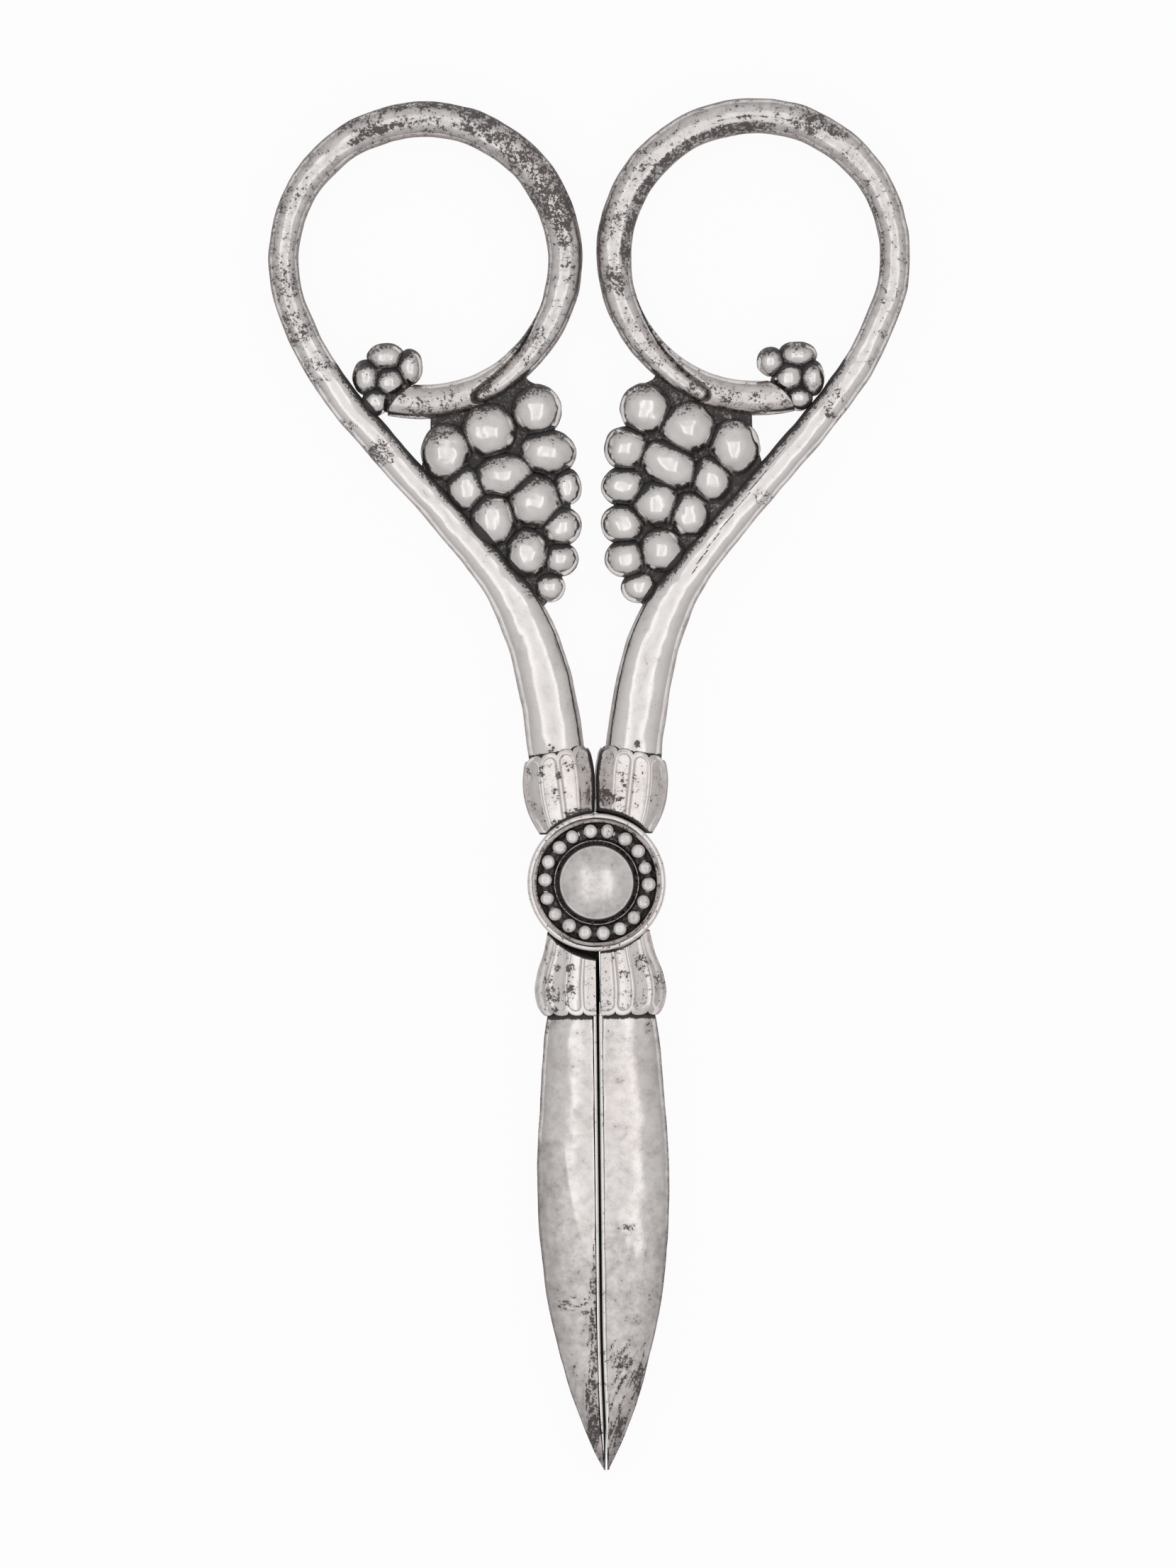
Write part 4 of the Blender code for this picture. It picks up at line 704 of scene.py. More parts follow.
def make_stem(name, side):
    share = np.linspace(0, 1, STEM_STATIONS)
    widths = STEM_WIDTH * smooth_curve(STEM_WIDTH_SHARES, share)
    depths = STEM_DEPTH * smooth_curve(STEM_DEPTH_SHARES, share)
    angles = STEM_ANGLES[0] + (STEM_ANGLES[1] - STEM_ANGLES[0]) * share
    path = ring_point(angles, STEM_INSET - widths / 2)
    rows = rod_rows(path, widths, depths, RIGHT)
    ahead, across = along_and_across(np.gradient(path, axis=0))
    lean = ((rows[..., :2] - path[:, None]) * across[:, None]).sum(-1) / STEM_WIDTH
    cut = np.clip((share - STEM_CUT_START) / (1 - STEM_CUT_START), 0, None) ** 2
    lean = lean - STEM_CUT_BULGE * (1 - 4 * lean ** 2)
    rows[..., :2] -= ahead[:, None] * (STEM_CUT_SLANT * cut[:, None] * lean)[..., None]
    end, middle = rows[-1], rows[-1].mean(0)
    out = np.append(ahead[-1], 0)
    shrink = 1 - STEM_LIP / (STEM_WIDTH / 2)
    lip = [middle + (end - middle) * (1 + shrink) / 2 + out * STEM_LIP / 2]
    lip += [middle + (end - middle) * (shrink * kept) - out * STEM_HOLLOW * depth
            for kept, depth in HOLLOW_STEPS]
    rows = np.concatenate([rows, np.array(lip)])
    rows[..., 0] *= side
    corners, faces = capped_skin(rows)
    gap = rod_gap(corners, side)
    under = 0.3 + 0.7 * smooth_step(-0.6 * MM, 0.0, gap)
    corners[:, 2] = MID_Z + (corners[:, 2] - MID_Z) * under
    grime = 0.50 * (1 - smooth_step(-0.05 * MM, 0.06 * MM, gap))
    hollow = np.zeros(len(corners))
    hollow[(len(rows) - 3) * ROD_SIDES:-2] = 0.62
    below = 0.55 * smooth_step(0.85, 1.0, np.tile(-squared_circle(ROD_SIDES)[:, 0], len(rows)))
    grime = np.maximum(np.maximum(grime, hollow), np.append(below, (0, 0.8)))
    strip = 0.9 - 0.55 * smooth_step(0.3, 0.5, np.repeat(share, ROD_SIDES))
    strip = np.append(strip, np.full(len(corners) - len(strip), 0.35))
    stem = new_piece(name, corners, faces, STEM_SILVER, grime=grime, dull=0.12,
                     tarnish=np.maximum(strip, stain_mask(corners, STEM_STAINS[side])))
    face_outwards(stem)
    hammer(stem, STEM_MARKS, 11.0 + side)
    return stem


STEM_SILVER = old_silver("stem_silver", polish=0.17, warmth=1.0)
for name, side, body, node in (("left_cut_stem", LEFT, "front_half", "left_stem"),
                               ("right_cut_stem", RIGHT, "rear_half", "right_stem")):
    stem = make_stem(name, side)
    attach(stem, body)
    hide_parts(node)

# The bunches: thirteen grapes and a flat web behind them, cast in one piece and soldered into
# the corner between shank and bow. The hollows between the grapes were blackened, and the
# grapes were burnished bright again.
BUNCH_X = 1.4 * MM
BUNCH_WIDTH = 17.0 * MM
BUNCH_TOP_Y = 56.4 * MM
WEB_DEPTH = 1.3 * MM
WEB_EDGE = 0.3 * MM
FRUIT_GROWTH = 1.125             # how far a fruit swells past the outline that its hollow leaves
FRUIT_FIT = 0.975                # of half the body's depth, the most that a grape may stand out
GRAPE_FACETS = 5                 # subdivisions of one grape
GRAPE_LUMPS = (2.0 * MM, 0.40 * MM)    # size and depth of the unevenness
GRAPE_SPREAD = 0.26 * MM         # how far the black reaches out of the hollows
GRAPE_SHADE = 0.42               # how much painted shade darkens the grapes' upper sides
BUNCH_WEAR = {LEFT: 0.02, RIGHT: -0.20}    # how much film the grapes keep; below 0 is brighter
# Each grape: across and down from the bunch's inner top corner, half width, half height, as
# shares of the bunch's width, then its tilt in degrees.
GRAPE_SHARES = {
    LEFT: (
        (0.28, 0.18, 0.150, 0.160, 0), (0.60, 0.31, 0.175, 0.170, 0),
        (0.88, 0.45, 0.155, 0.180, 0), (0.21, 0.46, 0.175, 0.140, -8),
        (0.51, 0.61, 0.190, 0.135, 10), (0.75, 0.69, 0.125, 0.145, 18),
        (0.30, 0.78, 0.165, 0.170, 0), (0.085, 0.69, 0.090, 0.110, 0),
        (0.575, 0.90, 0.145, 0.165, 14), (0.125, 0.95, 0.120, 0.120, 0),
        (0.35, 1.125, 0.135, 0.155, 8), (0.135, 1.17, 0.110, 0.100, 0),
        (0.205, 1.355, 0.095, 0.090, 0),
    ),
    RIGHT: (
        (0.28, 0.18, 0.155, 0.160, 0), (0.56, 0.31, 0.175, 0.165, 0),
        (0.865, 0.44, 0.155, 0.175, 8), (0.15, 0.44, 0.135, 0.135, 0),
        (0.43, 0.55, 0.195, 0.140, -32), (0.71, 0.65, 0.125, 0.145, 16),
        (0.345, 0.81, 0.145, 0.145, 0), (0.13, 0.69, 0.135, 0.120, 0),
        (0.56, 0.88, 0.130, 0.140, 0), (0.12, 0.94, 0.132, 0.120, -12),
        (0.375, 1.12, 0.140, 0.140, 0), (0.135, 1.17, 0.125, 0.120, 0),
        (0.22, 1.36, 0.110, 0.095, 10),
    ),
}
WEB_OUTLINE_SHARES = (
    (0.40, -0.10), (0.33, -0.02), (0.20, 0.05), (0.17, 0.18), (0.17, 0.30), (0.11, 0.42),
    (0.07, 0.66), (0.06, 0.95), (0.08, 1.17), (0.16, 1.36), (0.28, 1.50), (0.42, 1.44),
    (0.62, 1.20), (0.86, 0.92), (1.04, 0.68), (1.05, 0.56), (1.02, 0.44), (0.99, 0.32),
    (0.955, 0.12), (0.72, 0.06),
)


def full_round(tree, fullness):
    """Place of a point moved from a unit ball to a fuller, flatter-topped round body."""
    place = add_node(tree, "GeometryNodeInputPosition").outputs[0]
    parts = add_node(tree, "ShaderNodeSeparateXYZ", {0: place}).outputs
    flat = maths(tree, 'SQRT', maths(tree, 'ADD', maths(tree, 'MULTIPLY', parts[0], parts[0]),
                                     maths(tree, 'MULTIPLY', parts[1], parts[1])))
    high = maths(tree, 'ABSOLUTE', parts[2])
    total = maths(tree, 'ADD', maths(tree, 'POWER', flat, fullness),
                  maths(tree, 'POWER', high, fullness))
    size = maths(tree, 'POWER', total, maths(tree, 'DIVIDE', -1.0, fullness))
    return add_node(tree, "ShaderNodeVectorMath", {0: place, "Scale": size},
                    operation='SCALE').outputs[0]


def make_fruit_tree():
    """Geometry nodes that set a round fruit on every point, with its own size and tilt."""
    tree, given, result = group_tree("fruit_on_points", "GeometryNodeTree", (
        ("Geometry", "NodeSocketGeometry", None),
        ("Facets", "NodeSocketInt", 4),
        ("Fullness", "NodeSocketFloat", 2.25),
        ("Lump Size", "NodeSocketFloat", 2.0 * MM),
        ("Lump Depth", "NodeSocketFloat", 0.1 * MM),
        ("Seed", "NodeSocketFloat", 0.0),
        ("Metal", "NodeSocketMaterial", None),
    ), (("Geometry", "NodeSocketGeometry"),))
    ball = add_node(tree, "GeometryNodeMeshIcoSphere", {"Radius": 1.0,
                                                        "Subdivisions": given["Facets"]})
    ball = add_node(tree, "GeometryNodeSetPosition", {
        "Geometry": ball.outputs[0], "Position": full_round(tree, given["Fullness"])})
    radii = add_node(tree, "GeometryNodeInputNamedAttribute", {"Name": "radii"},
                     data_type='FLOAT_VECTOR').outputs[0]
    tilt = add_node(tree, "GeometryNodeInputNamedAttribute", {"Name": "tilt"},
                    data_type='FLOAT').outputs[0]
    turn = add_node(tree, "ShaderNodeCombineXYZ", {2: tilt}).outputs[0]
    fruit = add_node(tree, "GeometryNodeInstanceOnPoints", {
        "Points": given["Geometry"], "Instance": ball.outputs[0], "Rotation": turn,
        "Scale": radii}).outputs[0]
    real = add_node(tree, "GeometryNodeRealizeInstances", {0: fruit}).outputs[0]
    own = add_node(tree, "GeometryNodeInputNamedAttribute", {"Name": "fruit"},
                   data_type='FLOAT').outputs[0]
    shift = add_node(tree, "ShaderNodeCombineXYZ", {
        0: maths(tree, 'MULTIPLY', own, 3.7), 1: given["Seed"]}).outputs[0]
    pushed = push_by_noise(tree, real, given["Lump Size"], given["Lump Depth"], shift, 1.0, 0.6)
    return finish_tree(tree, pushed, given["Metal"], result)


FRUIT_ON_POINTS = make_fruit_tree()


def grow_fruit(name, fruits, lumps, seed):
    """One mesh of all the fruits of a bunch; `fruits` has centre, radii and tilt of each."""
    mesh = bpy.data.meshes.new(name)
    mesh.from_pydata([tuple(centre) for centre, _, _ in fruits], [], [])
    radii = np.array([reach for _, reach, _ in fruits], np.float32).ravel()
    mesh.attributes.new("radii", 'FLOAT_VECTOR', 'POINT').data.foreach_set("vector", radii)
    tilts = [math.radians(tilt) for _, _, tilt in fruits]
    mesh.attributes.new("tilt", 'FLOAT', 'POINT').data.foreach_set("value", tilts)
    mesh.attributes.new("fruit", 'FLOAT', 'POINT').data.foreach_set("value", range(len(fruits)))
    for mask in MASKS:
        mesh.attributes.new(mask, 'FLOAT', 'POINT')
    piece = bpy.data.objects.new(name, mesh)
    bpy.context.scene.collection.objects.link(piece)
    run_nodes(piece, FRUIT_ON_POINTS, {"Facets": GRAPE_FACETS, "Lump Size": lumps[0],
                                       "Lump Depth": lumps[1], "Seed": seed,
                                       "Metal": FRUIT_SILVER})
    return piece


def mesh_points(piece):
    corners = np.empty(len(piece.data.vertices) * 3)
    piece.data.vertices.foreach_get("co", corners)
    return corners.reshape(-1, 3)


def mask_of(piece, name):
    values = np.empty(len(piece.data.vertices), np.float32)
    piece.data.attributes[name].data.foreach_get("value", values)
    return values


def set_mask(piece, name, values):
    piece.data.attributes[name].data.foreach_set("value", np.asarray(values, np.float32))


def fruit_reach(corners, fruit):
    """Where each point lies for one fruit: 1 on its skin, more outside; and its direction."""
    centre, radii, tilt = fruit
    turn = math.radians(tilt)
    away = corners - np.array(centre)
    x = away[:, 0] * math.cos(turn) + away[:, 1] * math.sin(turn)
    y = away[:, 1] * math.cos(turn) - away[:, 0] * math.sin(turn)
    way = np.stack([x, y, away[:, 2]], 1) / np.array(radii)
    return np.linalg.norm(way, axis=1), way


def darken_between(piece, fruits, side, spread, top_shade, wear, first=0):
    """Blackens a bunch's fruits low down, where they meet, and where they meet the rod; paints
    stippled shade on their upper left sides.

    `first` is the number of the first one, where the piece has a base before its fruits."""
    corners = mesh_points(piece)
    own = np.rint(mask_of(piece, "fruit")).astype(int) - first
    nearest = np.full(len(corners), 1.0)
    low = np.zeros(len(corners))
    shaded = np.zeros(len(corners))
    for number, fruit in enumerate(fruits):
        mine = own == number
        reach, way = fruit_reach(corners, fruit)
        mean = (fruit[1][0] + fruit[1][1]) / 2
        nearest[~mine] = np.minimum(nearest[~mine], ((reach - 1) * mean)[~mine])
        low[mine] = np.abs(way[mine, 2])
        shaded[mine] = smooth_step(0.05, 0.85, way[mine, 1] - 0.3 * way[mine, 0])
    grime = 1.05 * (1 - smooth_step(0, spread, nearest))
    grime = np.maximum(grime, 0.56 * (1 - smooth_step(spread * 0.6, spread * 5.0, nearest)))
    grime = np.maximum(grime, 0.75 * (1 - smooth_step(0.10, 0.42, low)))
    grime = np.maximum(grime, 0.95 * (1 - smooth_step(0.0, spread, rod_gap(corners, side))))
    foot = 1 - smooth_step(0.3, 0.6, low)
    film = 1 - smooth_step(0.2, 0.5, low)
    # The upper left sides get painted shade, stippled through the tarnish.
    set_mask(piece, "grime", grime + top_shade * shaded)
    set_mask(piece, "tarnish", 0.06 + wear + 0.85 * shaded + 0.3 * foot)
    set_mask(piece, "dull", 0.6 * wear - 0.02 + 0.2 * shaded + 0.35 * film)


def smooth_outline(points, steps=8):
    """A closed curve through the points, with a few steps from each to the next."""
    points = np.array(points)
    before, after, beyond = (np.roll(points, shift, axis=0) for shift in (1, -1, -2))
    rows = []
    for step in range(steps):
        t = step / steps
        rows.append(0.5 * (2 * points + (after - before) * t
                           + (2 * before - 5 * points + 4 * after - beyond) * t ** 2
                           + (3 * points - before - 3 * after + beyond) * t ** 3))
    return np.stack(rows, 1).reshape(-1, 2)


def plate_mesh(outline, low, high, edge):
    """Points and faces of a flat plate with rounded edges."""
    count = len(outline)
    _, inward = along_and_across(np.roll(outline, -1, axis=0) - np.roll(outline, 1, axis=0))
    area = (outline[:, 0] * np.roll(outline[:, 1], -1) - outline[:, 1] * np.roll(outline[:, 0], -1))
    inward *= np.sign(area.sum())
    rows = []
    for turn in np.radians(np.linspace(-90, 90, 7)):
        z = (low + edge if turn < 0 else high - edge) + math.sin(turn) * edge
        rows.append(np.column_stack([outline + inward * edge * (1 - math.cos(turn)),
                                     np.full(count, z)]))
    corners = np.vstack(rows)
    faces = skin_faces(len(rows), count)
    faces.append(tuple(range(count))[::-1])
    faces.append(tuple(range(len(corners) - count, len(corners))))
    return corners, faces


def join_pieces(main, *others):
    """Joins other meshes into the main one; their masks go with them."""
    with bpy.context.temp_override(active_object=main, selected_editable_objects=[main, *others]):
        bpy.ops.object.join()


def make_bunch(name, side):
    def place(across, down):
        return side * (BUNCH_X + BUNCH_WIDTH * across), BUNCH_TOP_Y - BUNCH_WIDTH * down

    fruits = []
    for across, down, half_width, half_height, tilt in GRAPE_SHARES[side]:
        radii = [BUNCH_WIDTH * half_width * FRUIT_GROWTH, BUNCH_WIDTH * half_height * FRUIT_GROWTH]
        radii.append(min(sum(radii) / 2, MID_Z * FRUIT_FIT))
        fruits.append(((*place(across, down), MID_Z), radii, tilt))
    bunch = grow_fruit(name, fruits, GRAPE_LUMPS, 5.0 + side)
    darken_between(bunch, fruits, side, GRAPE_SPREAD, GRAPE_SHADE, BUNCH_WEAR[side])
    outline = smooth_outline([place(across, down) for across, down in WEB_OUTLINE_SHARES])
    corners, faces = plate_mesh(outline, MID_Z - WEB_DEPTH / 2, MID_Z + WEB_DEPTH / 2, WEB_EDGE)
    web = new_piece(name + "_web", corners, faces, FRUIT_SILVER, grime=0.62, tarnish=0.9, dull=0.7)
    face_outwards(web)
    join_pieces(bunch, web)
    return bunch


FRUIT_SILVER = old_silver("fruit_silver", polish=0.13, warmth=0.25, relief=0.05 * MM)
for name, side, body, node in (("left_bunch", LEFT, "front_half", "left_grapes"),
                               ("right_bunch", RIGHT, "rear_half", "right_grapes")):
    bunch = make_bunch(name, side)
    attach(bunch, body)
    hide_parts(node)

# The berries: a small cast cluster of five on a low base, soldered between each stem's cut end
# and the shank, finished as the grapes are.
SPRIG = (23.0 * MM, 57.0 * MM)
SPRIG_WIDTH = 6.0 * MM
BERRY_DEPTH = 2.0 * MM
BERRY_GROWTH = 1.36
BASE_DEPTH = 1.1 * MM
BASE_SHARES = (0.43, 0.58)
BASE_DROP = 0.60 * MM            # of the base, below the sprig's middle
BASE_TILT = 30                   # degrees that its foot leans towards the stem
BASE_GRIME = 0.6
BERRY_LUMPS = (1.5 * MM, 0.24 * MM)
BERRY_SPREAD = 0.28 * MM
BERRY_SHADE = 0.40
BERRY_WEAR = 0.16
# Each berry: away from the axis and up from the sprig's middle, half width and half height, as
# shares of the sprig's width.
BERRY_SHARES = {
    LEFT: ((0.02, 0.43, 0.27, 0.20), (-0.43, 0.24, 0.18, 0.26), (-0.05, -0.04, 0.22, 0.22),
           (0.39, 0.05, 0.20, 0.25), (0.22, -0.41, 0.20, 0.20)),
    RIGHT: ((0.06, 0.38, 0.28, 0.19), (-0.44, 0.26, 0.20, 0.21), (-0.10, -0.04, 0.22, 0.24),
            (0.33, -0.05, 0.18, 0.26), (0.08, -0.43, 0.20, 0.18)),
}

for name, side, body, node in (("left_sprig", LEFT, "front_half", "left_berries"),
                               ("right_sprig", RIGHT, "rear_half", "right_berries")):
    fruits = [((side * SPRIG[0], SPRIG[1] - BASE_DROP, MID_Z),
               (SPRIG_WIDTH * BASE_SHARES[0], SPRIG_WIDTH * BASE_SHARES[1], BASE_DEPTH),
               -side * BASE_TILT)]
    for away, up, half_width, half_height in BERRY_SHARES[side]:
        centre = (side * (SPRIG[0] + SPRIG_WIDTH * away), SPRIG[1] + SPRIG_WIDTH * up, MID_Z)
        radii = (SPRIG_WIDTH * half_width * BERRY_GROWTH, SPRIG_WIDTH * half_height * BERRY_GROWTH,
                 BERRY_DEPTH)
        fruits.append((centre, radii, 0))
    sprig = grow_fruit(name, fruits, BERRY_LUMPS, 9.0 + side)
    darken_between(sprig, fruits[1:], side, BERRY_SPREAD, BERRY_SHADE, BERRY_WEAR, first=1)
    is_base = np.rint(mask_of(sprig, "fruit")) == 0
    set_mask(sprig, "grime", np.where(is_base, BASE_GRIME, mask_of(sprig, "grime")))
    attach(sprig, body)
    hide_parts(node)

# The upper collars: a fluted silver sleeve on each shank where it meets its lug. The flutes
# are shallow scoops with raised ridges between them, and each ends in an arch at the crown.
COLLAR_FOOT = (3.25 * MM, 5.4 * MM)      # ends of the right collar's leaning middle line
COLLAR_CROWN = (4.35 * MM, 14.7 * MM)
COLLAR_WIDTH = 8.1 * MM
COLLAR_WIDTH_SHARES = ((0, 0.77), (0.33, 0.89), (0.75, 1.0), (0.9, 0.97), (1, 0.865))
COLLAR_DEPTH_SHARES = ((0, 0.88), (0.33, 0.95), (0.75, 1.0), (0.93, 0.98), (1, 0.95))
COLLAR_EDGES = (23, 63.5, 90, 116.5, 157, 203, 243.5, 270, 296.5, 337, 383)    # degrees
COLLAR_ROWS = 110
COLLAR_LAP = 0.26 * MM           # step that keeps light out from between the two sleeves
COLLAR_BULGE = 0.17              # how much fuller the sleeve is, at most, on its outer side
COLLAR_SIDE = 0.92               # past this share of its half width the sleeve has no arch
UPPER_COLLAR_MARKS = (1.8 * MM, 0.10 * MM)
UPPER_COLLAR_WEAR = (0.15, 0.25)    # tarnish of the sleeve, and how much more down in a scoop
FOOT_PASSES = 6                  # rounds that settle where a sleeve's foot meets the lug's edge
SOLDER_SEAM = 0.06 * MM
LUG_ARC_GAP = 0.30 * MM          # from a lug's edge to the other half's collar
FLARE_REACH = 5 * MM             # how far from the middle that gap may grow
SCOOP_POINTS = 22                # points across one flute
SCOOP_SAMPLES = 300              # steps by which a flute's width is measured
SCOOP_DEPTH = 0.20 * MM
SCOOP_WALL = (0.62, 0.24)        # shares of a scoop's depth and half width that its wall takes
SCOOP_RIDGE = 0.12 * MM          # half the width of the ridge between two flutes
SCOOP_RIM = 0.34 * MM            # from a scoop's arched end to the edge of the crown
CROWN_DIP = 0.45 * MM            # how far the crown dips between two flutes
CROWN_TILT = 0.19                # slope of the upper crowns, down towards the outside
CROWN_LIP = 0.17 * MM
# Rings over the crown's lip and down inside it: inwards and up, as multiples of the lip.
CROWN_STEPS = ((0.25, 0.6), (0.6, 1.0), (1.0, 0.9), (1.5, 0.3), (2.2, -1.0), (3.4, -2.6))
# Pits and blots in mm: x, y, reach, strength.
UPPER_COLLAR_STAINS = (
    (-6.1, 12.9, 0.5, 1.0), (-6.15, 12.2, 0.5, 1.0), (-6.2, 11.3, 0.4, 0.9),
    (-4.1, 12.0, 0.7, 0.85), (-7.3, 12.6, 0.8, 0.6), (-1.6, 7.6, 1.6, 0.8),
    (-3.0, 7.6, 1.1, 0.7), (1.1, 9.5, 1.7, 0.9), (1.6, 7.7, 1.3, 0.75), (2.9, 12.6, 1.0, 0.62),
    (3.2, 11.2, 0.9, 0.55), (2.6, 9.2, 0.8, 0.55), (4.9, 11.9, 0.8, 0.5),
)


def fluted_oval(half_width, half_depth, edges):
    """Points round an oval, with each one's place across its flute and half the flute's width.

    The flutes meet at the edges, in degrees round the oval from +x."""
    power = 2 / ROD_SQUARENESS
    spots, across, halves = [], [], []
    for start, end in zip(edges, edges[1:]):
        turns = np.radians(np.linspace(start, end, SCOOP_SAMPLES))
        x = np.copysign(np.abs(np.cos(turns)) ** power, np.cos(turns)) * half_width
        z = np.copysign(np.abs(np.sin(turns)) ** power, np.sin(turns)) * half_depth
        run = np.append(0, np.cumsum(np.hypot(np.diff(x), np.diff(z))))
        places = np.linspace(0, run[-1], SCOOP_POINTS, endpoint=False)
        spots.append(np.stack([np.interp(places, run, x), np.interp(places, run, z)], 1))
        across.append(places - run[-1] / 2)
        halves.append(np.full(SCOOP_POINTS, run[-1] / 2))
    return np.vstack(spots), np.concatenate(across), np.concatenate(halves)


def scoop(across, half, below):
    """Depth of a scoop, 0 to 1, at a place across its flute and below the flute's arched end."""
    reach = half - SCOOP_RIDGE
    into_arch = np.clip(SCOOP_RIM + reach - below, 0, None)
    inside = np.clip(1 - np.hypot(across, into_arch) / reach, 0, 1)
    wall, width = SCOOP_WALL
    return wall * smooth_step(0, width, inside) + (1 - wall) * (1 - (1 - inside) ** 2)


def lug_hollow(x, z, face, flare=0.0):
    """How far from the pivot's line across a collar's foot lies, to clear the round lugs."""
    own = (z - MID_Z) * face > RUNNING_GAP / 2
    reach = np.where(own, LUG_RADIUS + SOLDER_SEAM, LUG_RADIUS + LUG_ARC_GAP)
    reach = reach + np.where(own, 0.0, flare) * np.clip(1 - np.abs(x) / FLARE_REACH, 0, 1)
    return np.sqrt(np.clip(reach ** 2 - x ** 2, 0, None))


def crown_rows(rim, inward, rise):
    """Rings of points over a crown's lip and down inside it; `rise` is 1 up or -1 down."""
    return [rim + np.column_stack([inward[:, 0] * step_in, np.full(len(rim), rise * step_up),
                                   inward[:, 1] * step_in]) * CROWN_LIP
            for step_in, step_up in CROWN_STEPS]


def finish_collar(name, rows, low, wear, grime, dull, stains, marks, seed):
    """A collar from its rings of points; `low` says how deep in a scoop each of them lies."""
    corners, faces = capped_skin(rows)
    crown = np.full((len(CROWN_STEPS), rows.shape[1]), 0.5)
    tarnish = np.append(np.vstack([wear[0] + wear[1] * np.array(low), crown]), (0.5, 0.5))
    collar = new_piece(name, corners, faces, COLLAR_SILVER, grime=np.append(grime, (1, 1)),
                       tarnish=np.maximum(tarnish, stain_mask(corners, stains)),
                       dull=np.append(np.tile(dull, len(rows)), (0, 0)))
    face_outwards(collar)
    hammer(collar, marks, seed)
    return collar


def make_upper_collar(name, side, face):
    spots, across, half = fluted_oval(COLLAR_WIDTH / 2, BODY_DEPTH / 2, COLLAR_EDGES)
    _, inward = along_and_across(np.roll(spots, -1, axis=0) - np.roll(spots, 1, axis=0))
    foot, crown = np.array(COLLAR_FOOT), np.array(COLLAR_CROWN)
    height = crown[1] - foot[1]
    level = crown[1] - CROWN_TILT * spots[:, 0]
    on_side = np.abs(spots[:, 0]) > COLLAR_SIDE * COLLAR_WIDTH / 2
    arch = np.where(on_side, 0.0, np.sqrt(np.clip(1 - (across / half) ** 2, 0, 1)))
    top = level - CROWN_DIP * (1 - arch)

    def on_sleeve(y):
        share = np.clip((y - foot[1]) / (level - foot[1]), 0, 1)
        wide = smooth_curve(COLLAR_WIDTH_SHARES, share)
        wide = wide * (1 + COLLAR_BULGE * 6.75 * share * (1 - share) ** 2 * (spots[:, 0] > 0))
        deep = smooth_curve(COLLAR_DEPTH_SHARES, share)
        middle = foot[0] + (crown[0] - foot[0]) * (y - foot[1]) / height
        return middle, wide, deep

    start = np.full(len(spots), foot[1])
    for _ in range(FOOT_PASSES):
        middle, wide, deep = on_sleeve(start)
        start = np.maximum(foot[1], lug_hollow(middle + spots[:, 0] * wide,
                                               MID_Z + spots[:, 1] * deep, face))
    rows, low = [], []
    for share in np.linspace(0, 1, COLLAR_ROWS):
        y = start + (top - start) * share
        middle, wide, deep = on_sleeve(y)
        sunk = SCOOP_DEPTH * scoop(across, half, level - y) * np.where(on_side, 0.15, 1.0)
        x = middle + spots[:, 0] * wide + inward[:, 0] * sunk
        rows.append(np.column_stack([x, y, MID_Z + spots[:, 1] * deep + inward[:, 1] * sunk]))
        low.append(sunk / SCOOP_DEPTH)
    rows = np.array(rows + crown_rows(rows[-1], inward, 1))
    behind = smooth_step(0.0, 0.16, -spots[:, 1] / BODY_DEPTH)
    inner = smooth_step(0.80, 0.97, -spots[:, 0] / (COLLAR_WIDTH / 2))
    rows[..., 0] -= side * COLLAR_LAP * behind * inner
    rows[..., 0] *= side
    grime = np.zeros(rows.shape[:2])
    above_foot = (rows[:COLLAR_ROWS, :, 1] - start) / MM
    grime[:COLLAR_ROWS] = 0.85 * (1 - smooth_step(0.05, 0.5, above_foot))
    edge_line = smooth_step(0.86, 0.93, -spots[:, 0] / (COLLAR_WIDTH / 2)) * (spots[:, 1] > 0)
    grime[:COLLAR_ROWS] = np.maximum(grime[:COLLAR_ROWS], 0.85 * edge_line)
    grime[COLLAR_ROWS + 1:] = 1.0
    dull = 0.05 + 0.45 * smooth_step(0.86, 0.97, np.abs(spots[:, 0]) / (COLLAR_WIDTH / 2))
    return finish_collar(name, rows, low, UPPER_COLLAR_WEAR, grime, dull, UPPER_COLLAR_STAINS,
                         UPPER_COLLAR_MARKS, 20.0 + side)


COLLAR_SILVER = old_silver("collar_silver", polish=0.15, warmth=0.95, relief=0.04 * MM)
for name, side, face, body, node in (
        ("left_fluted_collar", LEFT, FRONT, "front_half", "left_upper_collar"),
        ("right_fluted_collar", RIGHT, REAR, "rear_half", "right_upper_collar")):
    collar = make_upper_collar(name, side, face)
    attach(collar, body)
    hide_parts(node)

# The lower collars: one wide fluted barrel at the roots of the blades, sawn in two down the
# middle so that each half opens with its blade. They were made and finished as the upper ones.
BLADE_AXIS_X = 0.35 * MM
BLADE_WIDTH = 15.1 * MM
BARREL_AXIS_X = (0.17 * MM, 0.35 * MM)   # at the foot and at the crown
BARREL_Y = (-5.4 * MM, -14.9 * MM)
BARREL_WIDTH = 14.95 * MM
BARREL_SEAM_X = 0.07 * MM
BARREL_GAP = 0.40 * MM
BARREL_FLARE = 0.62 * MM         # the gap round the front lug grows by this to the seam
BARREL_WIDTH_SHARES = ((0, 0.77), (0.28, 0.85), (0.50, 0.95), (0.72, 1.0), (0.9, 0.96), (1, 0.88))
BARREL_EDGES = (-90, -78.8, -63.2, -41.3, 0, 41.3, 63.2, 78.8, 90)
BARREL_CUT_POINTS = 8            # points down a half's sawn side
BARREL_CUT_EASE = 0.34 * MM      # from the sawn side's ends to the barrel's front and back
BARREL_CUT_DIP = 0.4 * CROWN_DIP
